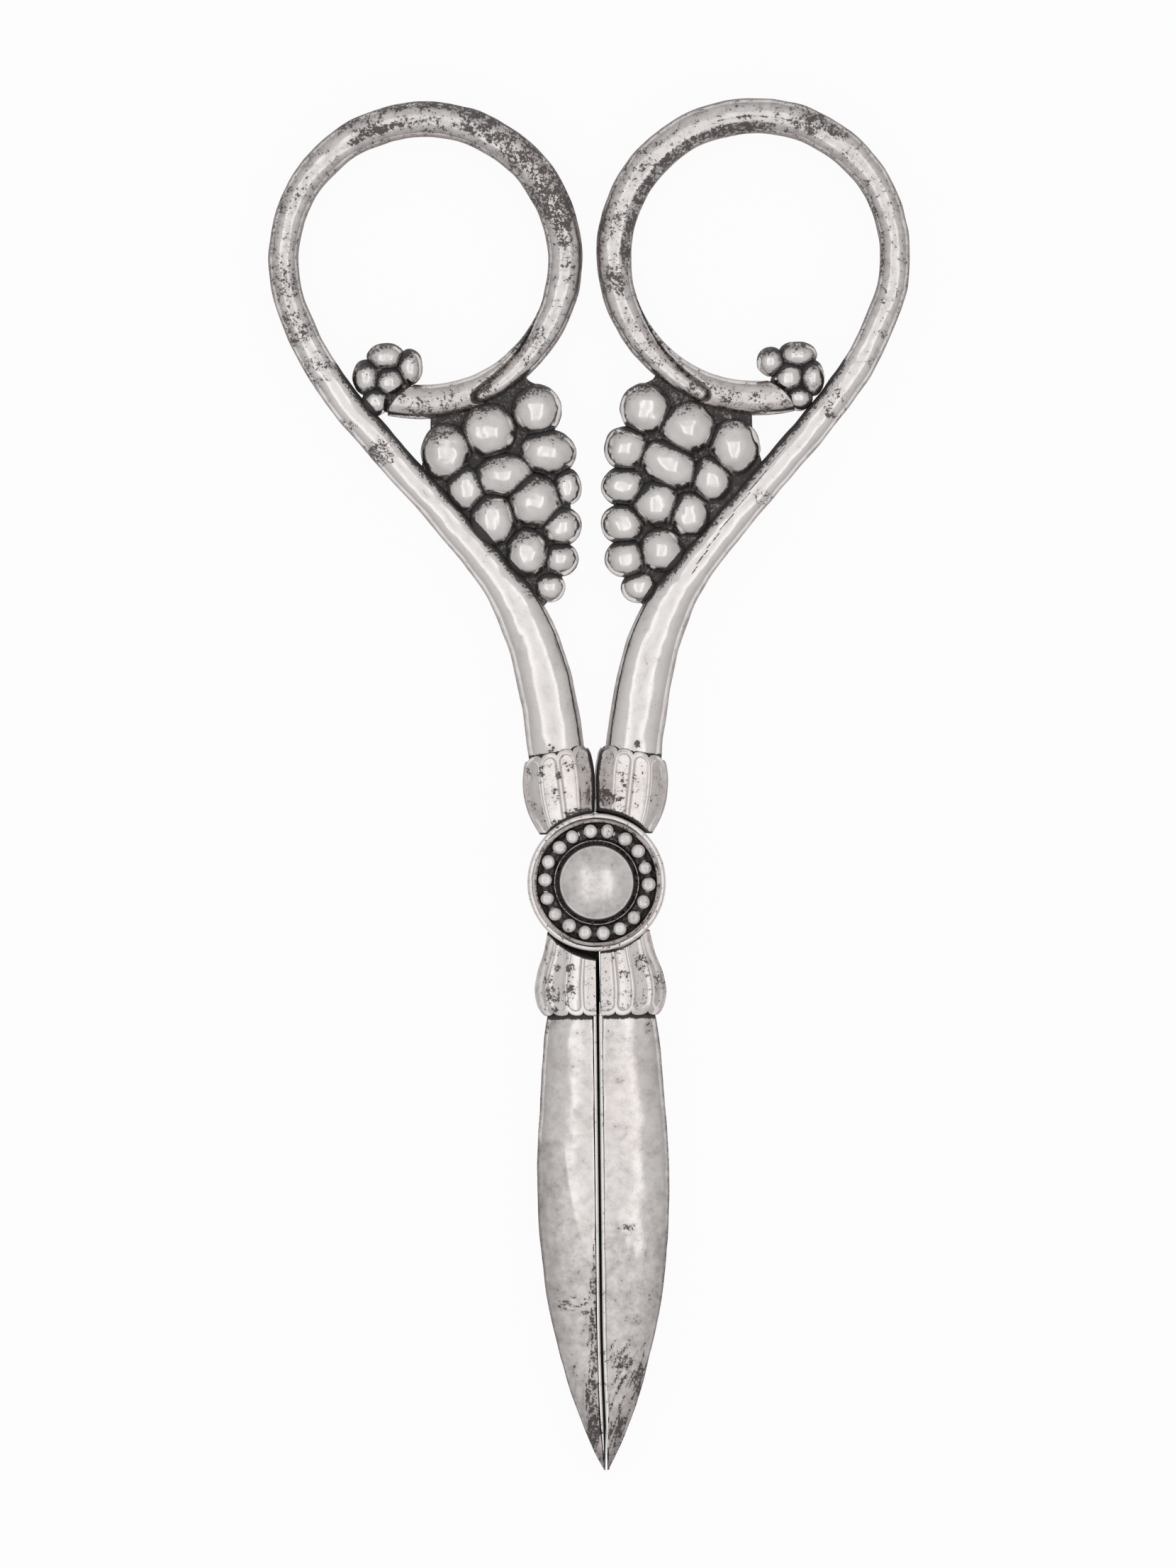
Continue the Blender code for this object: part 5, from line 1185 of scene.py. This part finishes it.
BARREL_LAP = 0.42 * MM           # step of the sawn side, which the rear half carries across
LOWER_COLLAR_MARKS = (1.8 * MM, 0.09 * MM)
LOWER_COLLAR_WEAR = (0.16, 0.2)
SHARP_ANGLE = math.radians(50)
LOWER_COLLAR_STAINS = (
    (-3.0, -9.6, 0.9, 0.85), (-4.6, -9.6, 0.8, 0.8), (-5.0, -12.6, 1.6, 0.9),
    (-5.6, -10.9, 0.9, 0.8), (-3.1, -12.4, 1.4, 0.75), (-3.4, -13.6, 0.7, 0.9),
    (-4.9, -14.2, 0.7, 0.85), (3.0, -10.4, 1.0, 0.9), (5.2, -9.2, 1.8, 0.7),
    (2.2, -8.6, 1.4, 0.7), (6.9, -11.5, 2.2, 0.6), (4.9, -13.6, 0.9, 0.6), (2.8, -14.0, 0.7, 0.6),
)


def make_lower_collar(name, side, face):
    quarter = BARREL_WIDTH / 2
    spots, across, half = fluted_oval(quarter, BODY_DEPTH / 2, BARREL_EDGES)
    cut_z = np.linspace(1, -1, BARREL_CUT_POINTS) * (BODY_DEPTH / 2 - BARREL_CUT_EASE)
    _, inward = along_and_across(np.gradient(spots, axis=0))
    inward = np.vstack([inward, np.tile((1.0, 0.0), (BARREL_CUT_POINTS, 1))])
    on_cut = np.arange(len(inward)) >= len(spots)
    spots = np.vstack([spots, np.column_stack([np.zeros(BARREL_CUT_POINTS), cut_z])])
    across = np.append(across, np.zeros(BARREL_CUT_POINTS))
    half = np.append(half, np.full(BARREL_CUT_POINTS, half[0]))
    by_cut = (np.abs(spots[:, 0]) < half[0]) & (across * spots[:, 1] > 0)
    across = np.where(by_cut, 0.0, across)
    lap = np.where(spots[:, 1] < 0, side * BARREL_LAP, 0.0)
    spots[:, 0] = lap + spots[:, 0] * (quarter - lap) / quarter
    seam = BARREL_SEAM_X + side * BARREL_GAP / 2
    foot, crown = BARREL_Y
    arch = np.sqrt(np.clip(1 - (across / half) ** 2, 0, 1))
    top = crown + np.where(on_cut, BARREL_CUT_DIP, CROWN_DIP * (1 - arch))

    def on_sleeve(y):
        share = np.clip((y - foot) / (crown - foot), 0, 1)
        axis = BARREL_AXIS_X[0] + (BARREL_AXIS_X[1] - BARREL_AXIS_X[0]) * share
        edge = axis + side * quarter * smooth_curve(BARREL_WIDTH_SHARES, share)
        deep = smooth_curve(COLLAR_DEPTH_SHARES, share)
        return seam + (edge - seam) * spots[:, 0] / quarter, MID_Z + spots[:, 1] * deep

    start = np.full(len(spots), foot)
    for _ in range(FOOT_PASSES):
        x, z = on_sleeve(start)
        start = np.minimum(foot, -lug_hollow(x, z, face, BARREL_FLARE))
    rows, low = [], []
    for share in np.linspace(0, 1, COLLAR_ROWS):
        y = start + (top - start) * share
        x, z = on_sleeve(y)
        sunk = np.where(on_cut, 0.0, SCOOP_DEPTH * scoop(across, half, y - crown))
        rows.append(np.column_stack([x + side * inward[:, 0] * sunk, y, z + inward[:, 1] * sunk]))
        low.append(sunk / SCOOP_DEPTH)
    rows = np.array(rows + crown_rows(rows[-1], inward * (side, 1), -1))
    below_foot = (start - rows[:COLLAR_ROWS, :, 1]) / MM
    grime = np.full(rows.shape[:2], 1.0)
    grime[:COLLAR_ROWS] = 0.85 * (1 - smooth_step(0.05, 0.35, below_foot))
    # The sawn sides are painted black, as shade in the gap between the two halves.
    grime[:COLLAR_ROWS, on_cut] = 1.0
    grime[COLLAR_ROWS] = 0.2
    dull = 0.04 + 0.45 * smooth_step(0.90, 0.98, spots[:, 0] / quarter)
    collar = finish_collar(name, rows, low, LOWER_COLLAR_WEAR, grime, dull, LOWER_COLLAR_STAINS,
                           LOWER_COLLAR_MARKS, 30.0 + side)
    collar.data.set_sharp_from_angle(angle=SHARP_ANGLE)
    return collar


for name, side, face, body, node in (
        ("left_barrel_half", LEFT, REAR, "rear_half", "left_lower_collar"),
        ("right_barrel_half", RIGHT, FRONT, "front_half", "right_lower_collar")):
    collar = make_lower_collar(name, side, face)
    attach(collar, body)
    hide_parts(node)

# The blades: each is half of a leaf in silver, rounded outside and hammered, with its root
# soldered into its collar. A step along the cut lets one blade pass under the other.
BLADE_Y = (-13.5 * MM, -66.42 * MM)
BLADE_DEPTH = 5.2 * MM
BLADE_GAP = 0.28 * MM
BLADE_LAP = 0.40 * MM
LAP_SHARES = ((0, 1.0), (0.66, 1.0), (1, 0.05))
BLADE_WIDTH_SHARES = ((0, 0.74), (0.03, 0.82), (0.18, 0.93), (0.40, 1.0), (0.60, 0.90),
                      (0.79, 0.62), (0.91, 0.34), (0.97, 0.155), (1, 0.047))
BLADE_DEPTH_SHARES = ((0, 0.93), (0.1, 0.99), (0.4, 0.92), (0.75, 0.68), (0.93, 0.42), (1, 0.26))
BLADE_ROUNDNESS = 2.2
BLADE_STATIONS = 260
BLADE_FACE_POINTS = 46
BLADE_ROOT = 1.4 * MM            # length of the blade inside its collar
BLADE_RIM = (0.93, 0.98)         # where its ground edge begins, as a share of its width
MATT_AND_SHADE_FADE = 0.014                # share of its length, each way, over which its polish ends and its painted shade comes in
BLADE_MARKS = (4.2 * MM, 0.28 * MM)
LINER_THICKNESS = 0.38 * MM
LINER_TIP_SHARES = ((0, 1.0), (0.85, 1.0), (1, 0.25))
BLADE_STAINS = (
    (-0.8, -57.0, 1.0, 0.6), (-1.0, -62.0, 1.3, 0.9), (4.3, -57.5, 1.1, 0.7),
    (2.0, -64.0, 1.3, 0.9), (6.0, -47.0, 1.6, 0.4), (1.0, -17.0, 1.2, 0.5),
    (-6.0, -16.5, 1.0, 0.6), (5.8, -16.4, 1.0, 0.6),
)
STROKE_SEED = 7
# Brushed strokes in mm: x, y, spread in x and y, slope in degrees, length, how many, strength.
BLADE_STROKES = (
    (-0.75, -44.5, 0.35, 4.5, 89, 2.4, 26, 0.80), (-0.95, -53.5, 0.45, 5.0, 87, 3.0, 34, 0.90),
    (-1.15, -61.0, 0.60, 3.0, 82, 3.0, 34, 1.0), (-2.9, -47.6, 1.9, 0.9, 12, 0.7, 20, 0.90),
    (3.0, -54.6, 1.6, 2.2, 61, 1.7, 34, 0.85), (4.2, -57.0, 0.7, 2.6, 66, 2.4, 34, 0.95),
    (1.9, -61.8, 1.0, 3.0, 70, 2.6, 30, 0.90), (3.0, -38.9, 1.0, 0.9, 15, 0.8, 12, 0.75),
    (-3.2, -57.5, 0.8, 3.0, 78, 2.0, 10, 0.55),
)


def leaf_height(x, share):
    """Half depth of the leaf at a place across it."""
    reach = BLADE_WIDTH / 2 * smooth_curve(BLADE_WIDTH_SHARES, share)
    crest = BLADE_DEPTH / 2 * smooth_curve(BLADE_DEPTH_SHARES, share)
    out = np.clip(np.abs(x - BLADE_AXIS_X) / reach, 0, 1)
    return crest * (1 - out ** BLADE_ROUNDNESS) ** (1 / BLADE_ROUNDNESS)


def cut_x(side, z_side, share):
    """Where a blade's cut lies, on the front or the rear of the middle plane."""
    return (BLADE_AXIS_X - z_side * BLADE_LAP * smooth_curve(LAP_SHARES, share)
            + side * BLADE_GAP / 2)


def stroke_mask(corners, patches):
    """How strongly fine brushed strokes, scattered over patches, cover each point."""
    mask = np.zeros(len(corners))
    chance = np.random.default_rng(STROKE_SEED)
    for x, y, spread_x, spread_y, slope, length, count, strength in patches:
        for _ in range(count):
            middle = chance.normal(0, 0.6, 2) * (spread_x, spread_y) + (x, y)
            ahead = direction(slope + chance.normal(0, 7))
            half = length * chance.uniform(0.25, 0.55)
            away = corners[:, :2] / MM - middle
            past = np.abs(away @ ahead) - half
            beside = away @ np.array((-ahead[1], ahead[0]))
            gap = np.hypot(np.clip(past, 0, None), beside)
            mask = np.maximum(mask, strength * (1 - smooth_step(0.05, 0.17, gap)))
    return mask


def matt_and_shade_start(side, out):
    """Share of the blade's length where its polish ends and painted shade begins, by the place
    across it.
    """
    if side == LEFT:
        return 0.535 - 0.06 * np.clip(np.abs(out - 0.20) / 0.20, 0, 2) ** 2
    waves = 0.012 * np.sin(out * 23) + 0.008 * np.sin(out * 51 + 1)
    return 0.485 + 0.06 * np.exp(-((out - 0.52) / 0.14) ** 2) + waves


def make_blade(name, side, face):
    share = np.linspace(0, 1, BLADE_STATIONS)[:, None]
    y = BLADE_Y[0] + (BLADE_Y[1] - BLADE_Y[0]) * share
    inset = LINER_THICKNESS * smooth_curve(LINER_TIP_SHARES, share)
    own_x = cut_x(side, face, share) + side * inset
    other_x = cut_x(side, -face, share) + side * inset
    step = face * (RUNNING_GAP / 2 + inset)
    edge = BLADE_AXIS_X + side * BLADE_WIDTH / 2 * smooth_curve(BLADE_WIDTH_SHARES, share)
    sweep = np.sin(np.linspace(0, math.pi / 2, BLADE_FACE_POINTS))[None]
    own = own_x + (edge - own_x) * sweep
    other = other_x + (edge - other_x) * sweep[:, -2::-1]
    x = np.hstack([own, other, other_x, own_x])
    z = np.hstack([face * leaf_height(own, share), -face * leaf_height(other, share), step, step])
    rows = np.dstack([x, np.broadcast_to(y, x.shape), MID_Z + z])
    corners, faces = capped_skin(rows)
    out = np.abs(x - BLADE_AXIS_X) / np.abs(edge - BLADE_AXIS_X)
    root = BLADE_Y[0] - y - BLADE_ROOT * np.ones_like(x)
    grime = 0.85 * (1 - smooth_step(0.2 * MM, 1.0 * MM, root))
    grime = np.maximum(grime, 0.5 * smooth_step(0.955, 0.99, out))
    grime[:, -2:] = 0.8
    # The blade darkens towards its tip: some tarnish, and painted shade where the soft light's band
    # on it ends.
    tarnish = 0.12 + 0.12 * smooth_step(0.25, 1.0, share) + 0.45 * smooth_step(0.9, 1.0, share)
    tarnish = tarnish * np.ones_like(x)
    tarnish = np.maximum(np.append(tarnish, (0.3, 0.3)), stain_mask(corners, BLADE_STAINS))
    tarnish = np.maximum(tarnish, stroke_mask(corners, BLADE_STROKES))
    # Past that start the blade is matt and painted darker, as shade.
    low = smooth_step(-MATT_AND_SHADE_FADE, MATT_AND_SHADE_FADE, share - matt_and_shade_start(side, out))
    rim = smooth_step(*BLADE_RIM, out)
    dull = 0.25 + 0.15 * low + 0.4 * rim + 0.3 * smooth_step(0.8, 1, share)
    matt = 0.75 * low + 0.6 * rim
    blade = new_piece(name, corners, faces, BLADE_SILVER, tarnish=tarnish,
                      grime=np.append(grime, (0.8, 0.3)), dull=np.append(dull, (0.5, 0.5)),
                      matt=np.append(matt, (0.5, 0.5)))
    face_outwards(blade)
    hammer(blade, BLADE_MARKS, 40.0 + side)
    blade.data.set_sharp_from_angle(angle=SHARP_ANGLE)
    return blade


BLADE_SILVER = old_silver("blade_silver", polish=0.13, warmth=0.7)
for name, side, face, body, node in (
        ("left_leaf_blade", LEFT, REAR, "rear_half", "left_blade"),
        ("right_leaf_blade", RIGHT, FRONT, "front_half", "right_blade")):
    blade = make_blade(name, side, face)
    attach(blade, body)
    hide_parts(node)

# The cutting liners: a steel strip of Z section let into each blade along its cut. It lines
# both edges and the step between them, and keeps a line of old solder along its joint.
LINER_EASE = 0.07 * MM           # how far its sharp edges are eased


def make_liner(name, side, face):
    share = np.linspace(0, 1, BLADE_STATIONS)[:, None]
    y = BLADE_Y[0] + (BLADE_Y[1] - BLADE_Y[0]) * share
    thickness = LINER_THICKNESS * smooth_curve(LINER_TIP_SHARES, share) - SOLDER_SEAM
    own_x, other_x = cut_x(side, face, share), cut_x(side, -face, share)
    back = side * thickness
    step = face * RUNNING_GAP / 2
    top = face * leaf_height(own_x + back, share)
    bottom = -face * leaf_height(other_x + back, share)
    level = np.zeros_like(own_x)
    section = (
        (own_x + side * LINER_EASE, top), (own_x, top - face * LINER_EASE), (own_x, step + level),
        (other_x, step + level), (other_x, bottom + face * LINER_EASE),
        (other_x + side * LINER_EASE, bottom), (other_x + back, bottom),
        (other_x + back, step + face * thickness), (own_x + back, step + face * thickness),
        (own_x + back, top))
    rows = np.dstack([np.hstack([x for x, _ in section]),
                      np.broadcast_to(y, (BLADE_STATIONS, len(section))),
                      MID_Z + np.hstack([z for _, z in section])])
    corners, faces = capped_skin(rows)
    grime = np.zeros(rows.shape[:2])
    grime[:, 2:4] = 1.0
    grime[:, 1] = 0.3
    grime[:, -1] = 0.45
    grime = np.maximum(grime, 0.6 * smooth_step(0.9, 0.97, share))
    tarnish = 0.2 + 0.3 * smooth_step(0.6, 1.0, share) * np.ones_like(grime)
    liner = new_piece(name, corners, faces, LINER_STEEL, grime=np.append(grime, (0.5, 0.3)),
                      tarnish=np.append(tarnish, (0.3, 0.3)))
    face_outwards(liner)
    liner.data.set_sharp_from_angle(angle=SHARP_ANGLE)
    return liner


LINER_STEEL = old_silver("liner_steel", polish=0.2, warmth=0.1)
for name, side, face, body, node in (
        ("left_steel_liner", LEFT, REAR, "rear_half", "left_cutting_liner"),
        ("right_steel_liner", RIGHT, FRONT, "front_half", "right_cutting_liner")):
    liner = make_liner(name, side, face)
    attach(liner, body)
    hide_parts(node)

# The rosette: a round washer on the front lug with a raised rim, a deep channel for the beads
# and a thin bezel inside it. It was turned or stamped, and its channel was blackened.
ROSETTE_Z = BODY_DEPTH + SOLDER_SEAM
BEAD_CIRCLE_RADIUS = 5.8 * MM
# Half of its section as (radius, height) in mm, from the bore outwards and back.
WASHER_PROFILE = (
    (2.1, 0.0), (7.30, 0.0), (7.35, 0.06), (7.35, 0.72), (7.31, 0.84), (7.24, 1.05),
    (7.20, 1.32), (7.12, 1.50), (7.00, 1.63), (6.86, 1.68), (6.76, 1.64), (6.70, 1.55),
    (6.68, 1.35), (6.66, 0.9), (6.60, 0.55), (6.48, 0.45), (5.12, 0.45), (4.98, 0.52),
    (4.92, 0.70), (4.89, 0.92), (4.80, 1.03), (4.70, 1.05), (4.60, 1.01), (4.55, 0.92),
    (4.55, 0.70), (2.1, 0.70),
)
CHANNEL = (4.57, 6.9)            # radii in mm from the bezel to the crest of the rim
CHANNEL_WALL = 6.0               # radius in mm beyond which the channel's outer wall counts
BEZEL = (4.62, 5)                # radii in mm that bound the bezel's two walls
WASHER_TURNS = 360
WASHER_MARKS = (1.4 * MM, 0.16 * MM)
# Brown streaks on the rim: from and to in degrees, radius and half width in mm, strength.
RIM_STREAKS = (
    (288, 338, 6.98, 0.16, 1.0), (118, 218, 6.84, 0.13, 0.9), (58, 112, 6.88, 0.14, 0.8),
    (-32, 44, 7.12, 0.08, 0.7), (218, 262, 7.10, 0.09, 0.7),
)


def make_washer(name):
    corners, faces = turned([(r * MM, ROSETTE_Z + z * MM) for r, z in WASHER_PROFILE],
                            WASHER_TURNS)
    reach = np.hypot(corners[:, 0], corners[:, 1]) / MM
    height = (corners[:, 2] - ROSETTE_Z) / MM
    inside = (reach > CHANNEL[0]) & (reach < CHANNEL[1])
    wall = 0.30 - 0.4 * smooth_step(1.2, 1.7, height)
    grime = np.where(inside, 0.22 - smooth_step(0.75, 1.2, height), 0.0)
    grime = np.maximum(grime, np.where(inside & (reach > CHANNEL_WALL), wall, 0))
    grime = np.where(reach < BEZEL[0], 0.46, np.maximum(grime, 0.6 * (height < 0.15)))
    grime = np.maximum(grime, 0.34 * (reach < BEZEL[1]))
    tarnish = np.where(inside, 0.60, 0.42)
    degrees = np.degrees(np.arctan2(corners[:, 1], corners[:, 0]))
    for start, end, radius, half_width, strength in RIM_STREAKS:
        along = (degrees - start) % 360 / (end - start)
        along = smooth_step(0, 0.2, along) * (1 - smooth_step(0.8, 1, along))
        beside = 1 - smooth_step(half_width * 0.5, half_width, np.abs(reach - radius))
        tarnish = np.maximum(tarnish, (0.4 + 0.6 * strength) * along * beside * (height > 1.2))
    washer = new_piece(name, corners, faces, ROSETTE_SILVER, grime=grime, tarnish=tarnish,
                       dull=np.where(inside, 0.8, 0.3))
    face_outwards(washer)
    hammer(washer, WASHER_MARKS, 50.0)
    return washer


ROSETTE_SILVER = old_silver("rosette_silver", polish=0.2, warmth=1.8, relief=0.05 * MM)
washer = make_washer("grooved_washer")
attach(washer, "front_half")
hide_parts("rosette_washer")

# The beaded wire: silver wire rolled into a string of beads, bent to a ring and soldered into
# the rosette's channel. No two beads are quite alike, and patina fills the gaps.
BEAD_COUNT = 18
BEAD_PHASE = -3.5
BEAD_RADIUS = 0.85 * MM
BEAD_HEIGHT = 0.72 * BEAD_RADIUS
BEAD_FULLNESS = 2.9              # 2 is a round bead, and more is a fuller one with a flatter top
BEAD_FACETS = 5                  # subdivisions of one bead
BEAD_WIRE_RADIUS = 0.34 * MM
BEAD_Z = 7.33 * MM
BEAD_SEED = 4
BEAD_DRIFT = 0.10 * MM           # how far a bead may lie from its even place
BEAD_SIZES = ((0.93, 0.93, 0.97), (1.04, 1.04, 1.0))    # least and most, as shares of even ones
BEAD_GAP_ANGLES = (7.5, 8.3)     # degrees from a bead's middle where the gap beside it begins
BEAD_FOOT = (-0.6, -0.25)        # heights where its black foot thins out and ends, in bead radii


def make_bead_tree():
    """Geometry nodes that string beads on a ring of wire."""
    tree, given, result = group_tree("beaded_wire", "GeometryNodeTree", (
        ("Geometry", "NodeSocketGeometry", None),
        ("Circle", "NodeSocketFloat", BEAD_CIRCLE_RADIUS),
        ("Beads", "NodeSocketInt", BEAD_COUNT),
        ("Bead Size", "NodeSocketFloat", BEAD_RADIUS),
        ("Bead Height", "NodeSocketFloat", BEAD_HEIGHT),
        ("Fullness", "NodeSocketFloat", BEAD_FULLNESS),
        ("Wire Size", "NodeSocketFloat", BEAD_WIRE_RADIUS),
        ("Turn", "NodeSocketFloat", 0.0),
        ("Height", "NodeSocketFloat", 0.0),
        ("Seed", "NodeSocketInt", 0),
        ("Metal", "NodeSocketMaterial", None),
    ), (("Geometry", "NodeSocketGeometry"),))

    def random_vector(least, most):
        return add_node(tree, "FunctionNodeRandomValue", {0: least, 1: most, "Seed": given["Seed"]},
                        data_type='FLOAT_VECTOR').outputs[0]

    circle = add_node(tree, "GeometryNodeCurvePrimitiveCircle", {
        "Resolution": given["Beads"], "Radius": given["Circle"]}).outputs[0]
    spots = add_node(tree, "GeometryNodeCurveToPoints", {"Curve": circle},
                     mode='EVALUATED').outputs[0]
    drift = random_vector((-BEAD_DRIFT, -BEAD_DRIFT, 0), (BEAD_DRIFT, BEAD_DRIFT, 0))
    spots = add_node(tree, "GeometryNodeSetPosition", {"Geometry": spots,
                                                       "Offset": drift}).outputs[0]
    ball = add_node(tree, "GeometryNodeMeshIcoSphere", {"Radius": 1.0,
                                                        "Subdivisions": BEAD_FACETS})
    ball = add_node(tree, "GeometryNodeSetPosition", {
        "Geometry": ball.outputs[0], "Position": full_round(tree, given["Fullness"])}).outputs[0]
    radii = add_node(tree, "ShaderNodeCombineXYZ", {
        0: given["Bead Size"], 1: given["Bead Size"], 2: given["Bead Height"]}).outputs[0]
    ball = add_node(tree, "GeometryNodeTransform", {"Geometry": ball, "Scale": radii}).outputs[0]
    beads = add_node(tree, "GeometryNodeInstanceOnPoints", {
        "Points": spots, "Instance": ball, "Scale": random_vector(*BEAD_SIZES)}).outputs[0]
    beads = add_node(tree, "GeometryNodeRealizeInstances", {0: beads}).outputs[0]
    fine = add_node(tree, "GeometryNodeCurvePrimitiveCircle", {
        "Resolution": 180, "Radius": given["Circle"]}).outputs[0]
    section = add_node(tree, "GeometryNodeCurvePrimitiveCircle", {
        "Resolution": 16, "Radius": given["Wire Size"]}).outputs[0]
    wire = add_node(tree, "GeometryNodeCurveToMesh", {"Curve": fine,
                                                      "Profile Curve": section}).outputs[0]
    both = tree.nodes.new("GeometryNodeJoinGeometry")
    tree.links.new(wire, both.inputs[0])
    tree.links.new(beads, both.inputs[0])
    lift = add_node(tree, "ShaderNodeCombineXYZ", {2: given["Height"]}).outputs[0]
    turn = add_node(tree, "ShaderNodeCombineXYZ", {2: given["Turn"]}).outputs[0]
    placed = add_node(tree, "GeometryNodeTransform", {
        "Geometry": both.outputs[0], "Translation": lift, "Rotation": turn}).outputs[0]
    return finish_tree(tree, placed, given["Metal"], result)


BEAD_SILVER = old_silver("bead_silver", polish=0.21, warmth=0.4)
beads = new_piece("beaded_wire_ring", [(0, 0, 0)], [], BEAD_SILVER)
run_nodes(beads, make_bead_tree(), {
    "Circle": BEAD_CIRCLE_RADIUS, "Beads": BEAD_COUNT, "Bead Size": BEAD_RADIUS,
    "Bead Height": BEAD_HEIGHT, "Fullness": BEAD_FULLNESS, "Wire Size": BEAD_WIRE_RADIUS,
    "Turn": math.radians(BEAD_PHASE), "Height": BEAD_Z, "Seed": BEAD_SEED,
    "Metal": BEAD_SILVER})
points = mesh_points(beads)
lift = (points[:, 2] - BEAD_Z) / BEAD_RADIUS
spin = np.degrees(np.arctan2(points[:, 1], points[:, 0])) - BEAD_PHASE
off_bead = np.abs((spin + 180 / BEAD_COUNT) % (360 / BEAD_COUNT) - 180 / BEAD_COUNT)
below = 0.95 * (1 - smooth_step(*BEAD_FOOT, lift))
for mask, values in (("grime", np.maximum(below, smooth_step(*BEAD_GAP_ANGLES, off_bead))),
                     ("tarnish", np.full(len(points), 0.25)), ("dull", np.full(len(points), 0.3))):
    beads.data.attributes.new(mask, 'FLOAT', 'POINT')
    set_mask(beads, mask, values)
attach(beads, "front_half")
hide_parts("rosette_beads")

# The pivot rivet: its shank is fast in the rear lug, its tail is closed there, and its wide
# polished head lies on the rosette as a low dome.
# Half of its section as (radius, height) in mm, from the middle of its tail up to the dome.
RIVET_TAIL = ((0.02, 0.0), (0.7, 0.0), (1.4, 0.0), (2.1, 0.0), (2.70, 0.0), (2.75, 0.04),
              (2.0, 0.9), (2.0, 6.86), (4.28, 6.86), (4.35, 6.92))
DOME_RADIUS = 4.36 * MM
DOME_TOP = 8.76 * MM
DOME_CURVE = 8.2 * MM            # radius of the dome's broad top
DOME_SHOULDER = 3.95 * MM
DOME_MIDDLE = 0.02 * MM          # radius of the small flat at its top
DOME_STEPS = (12, 60)            # points round the shoulder and over the top
HEAD_START = 7                   # height in mm above which a point is on the head
TAIL_RIM = (2.30, 2.68)          # radii in mm between which the tail's edge darkens
DOME_RIM = (4.1, 4.3)            # and the head's
RIVET_MARKS = (3.0 * MM, 0.06 * MM)


def make_rivet(name):
    profile = [(r * MM, z * MM) for r, z in RIVET_TAIL]
    drop = DOME_TOP - DOME_CURVE + math.sqrt(DOME_CURVE ** 2 - DOME_SHOULDER ** 2)
    low = profile[-1][1]
    for turn in np.linspace(0.05, 1, DOME_STEPS[0]):
        bend = turn * math.pi / 2
        profile.append((DOME_SHOULDER + (DOME_RADIUS - DOME_SHOULDER) * math.cos(bend),
                        low + (drop - low) * math.sin(bend)))
    for radius in np.linspace(DOME_SHOULDER, DOME_MIDDLE, DOME_STEPS[1])[1:]:
        profile.append((radius, DOME_TOP - DOME_CURVE + math.sqrt(DOME_CURVE ** 2 - radius ** 2)))
    corners, faces = turned(profile, WASHER_TURNS)
    first_cap = tuple(range(WASHER_TURNS))
    last_cap = tuple(range(len(corners) - WASHER_TURNS, len(corners)))
    faces = faces[:-WASHER_TURNS] + [first_cap, last_cap]
    reach = np.hypot(corners[:, 0], corners[:, 1]) / MM
    high = corners[:, 2] / MM
    tail = 0.10 + 0.8 * smooth_step(*TAIL_RIM, reach)
    grime = np.where(high > HEAD_START, smooth_step(*DOME_RIM, reach), tail)
    rivet = new_piece(name, corners, faces, RIVET_SILVER, grime=grime, tarnish=0.12, dull=0.25)
    face_outwards(rivet)
    hammer(rivet, RIVET_MARKS, 60.0)
    rivet.data.set_sharp_from_angle(angle=SHARP_ANGLE)
    return rivet


RIVET_SILVER = old_silver("rivet_silver", polish=0.21, warmth=0.4)
rivet = make_rivet("domed_rivet")
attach(rivet, "rear_half")
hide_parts("pivot_rivet")
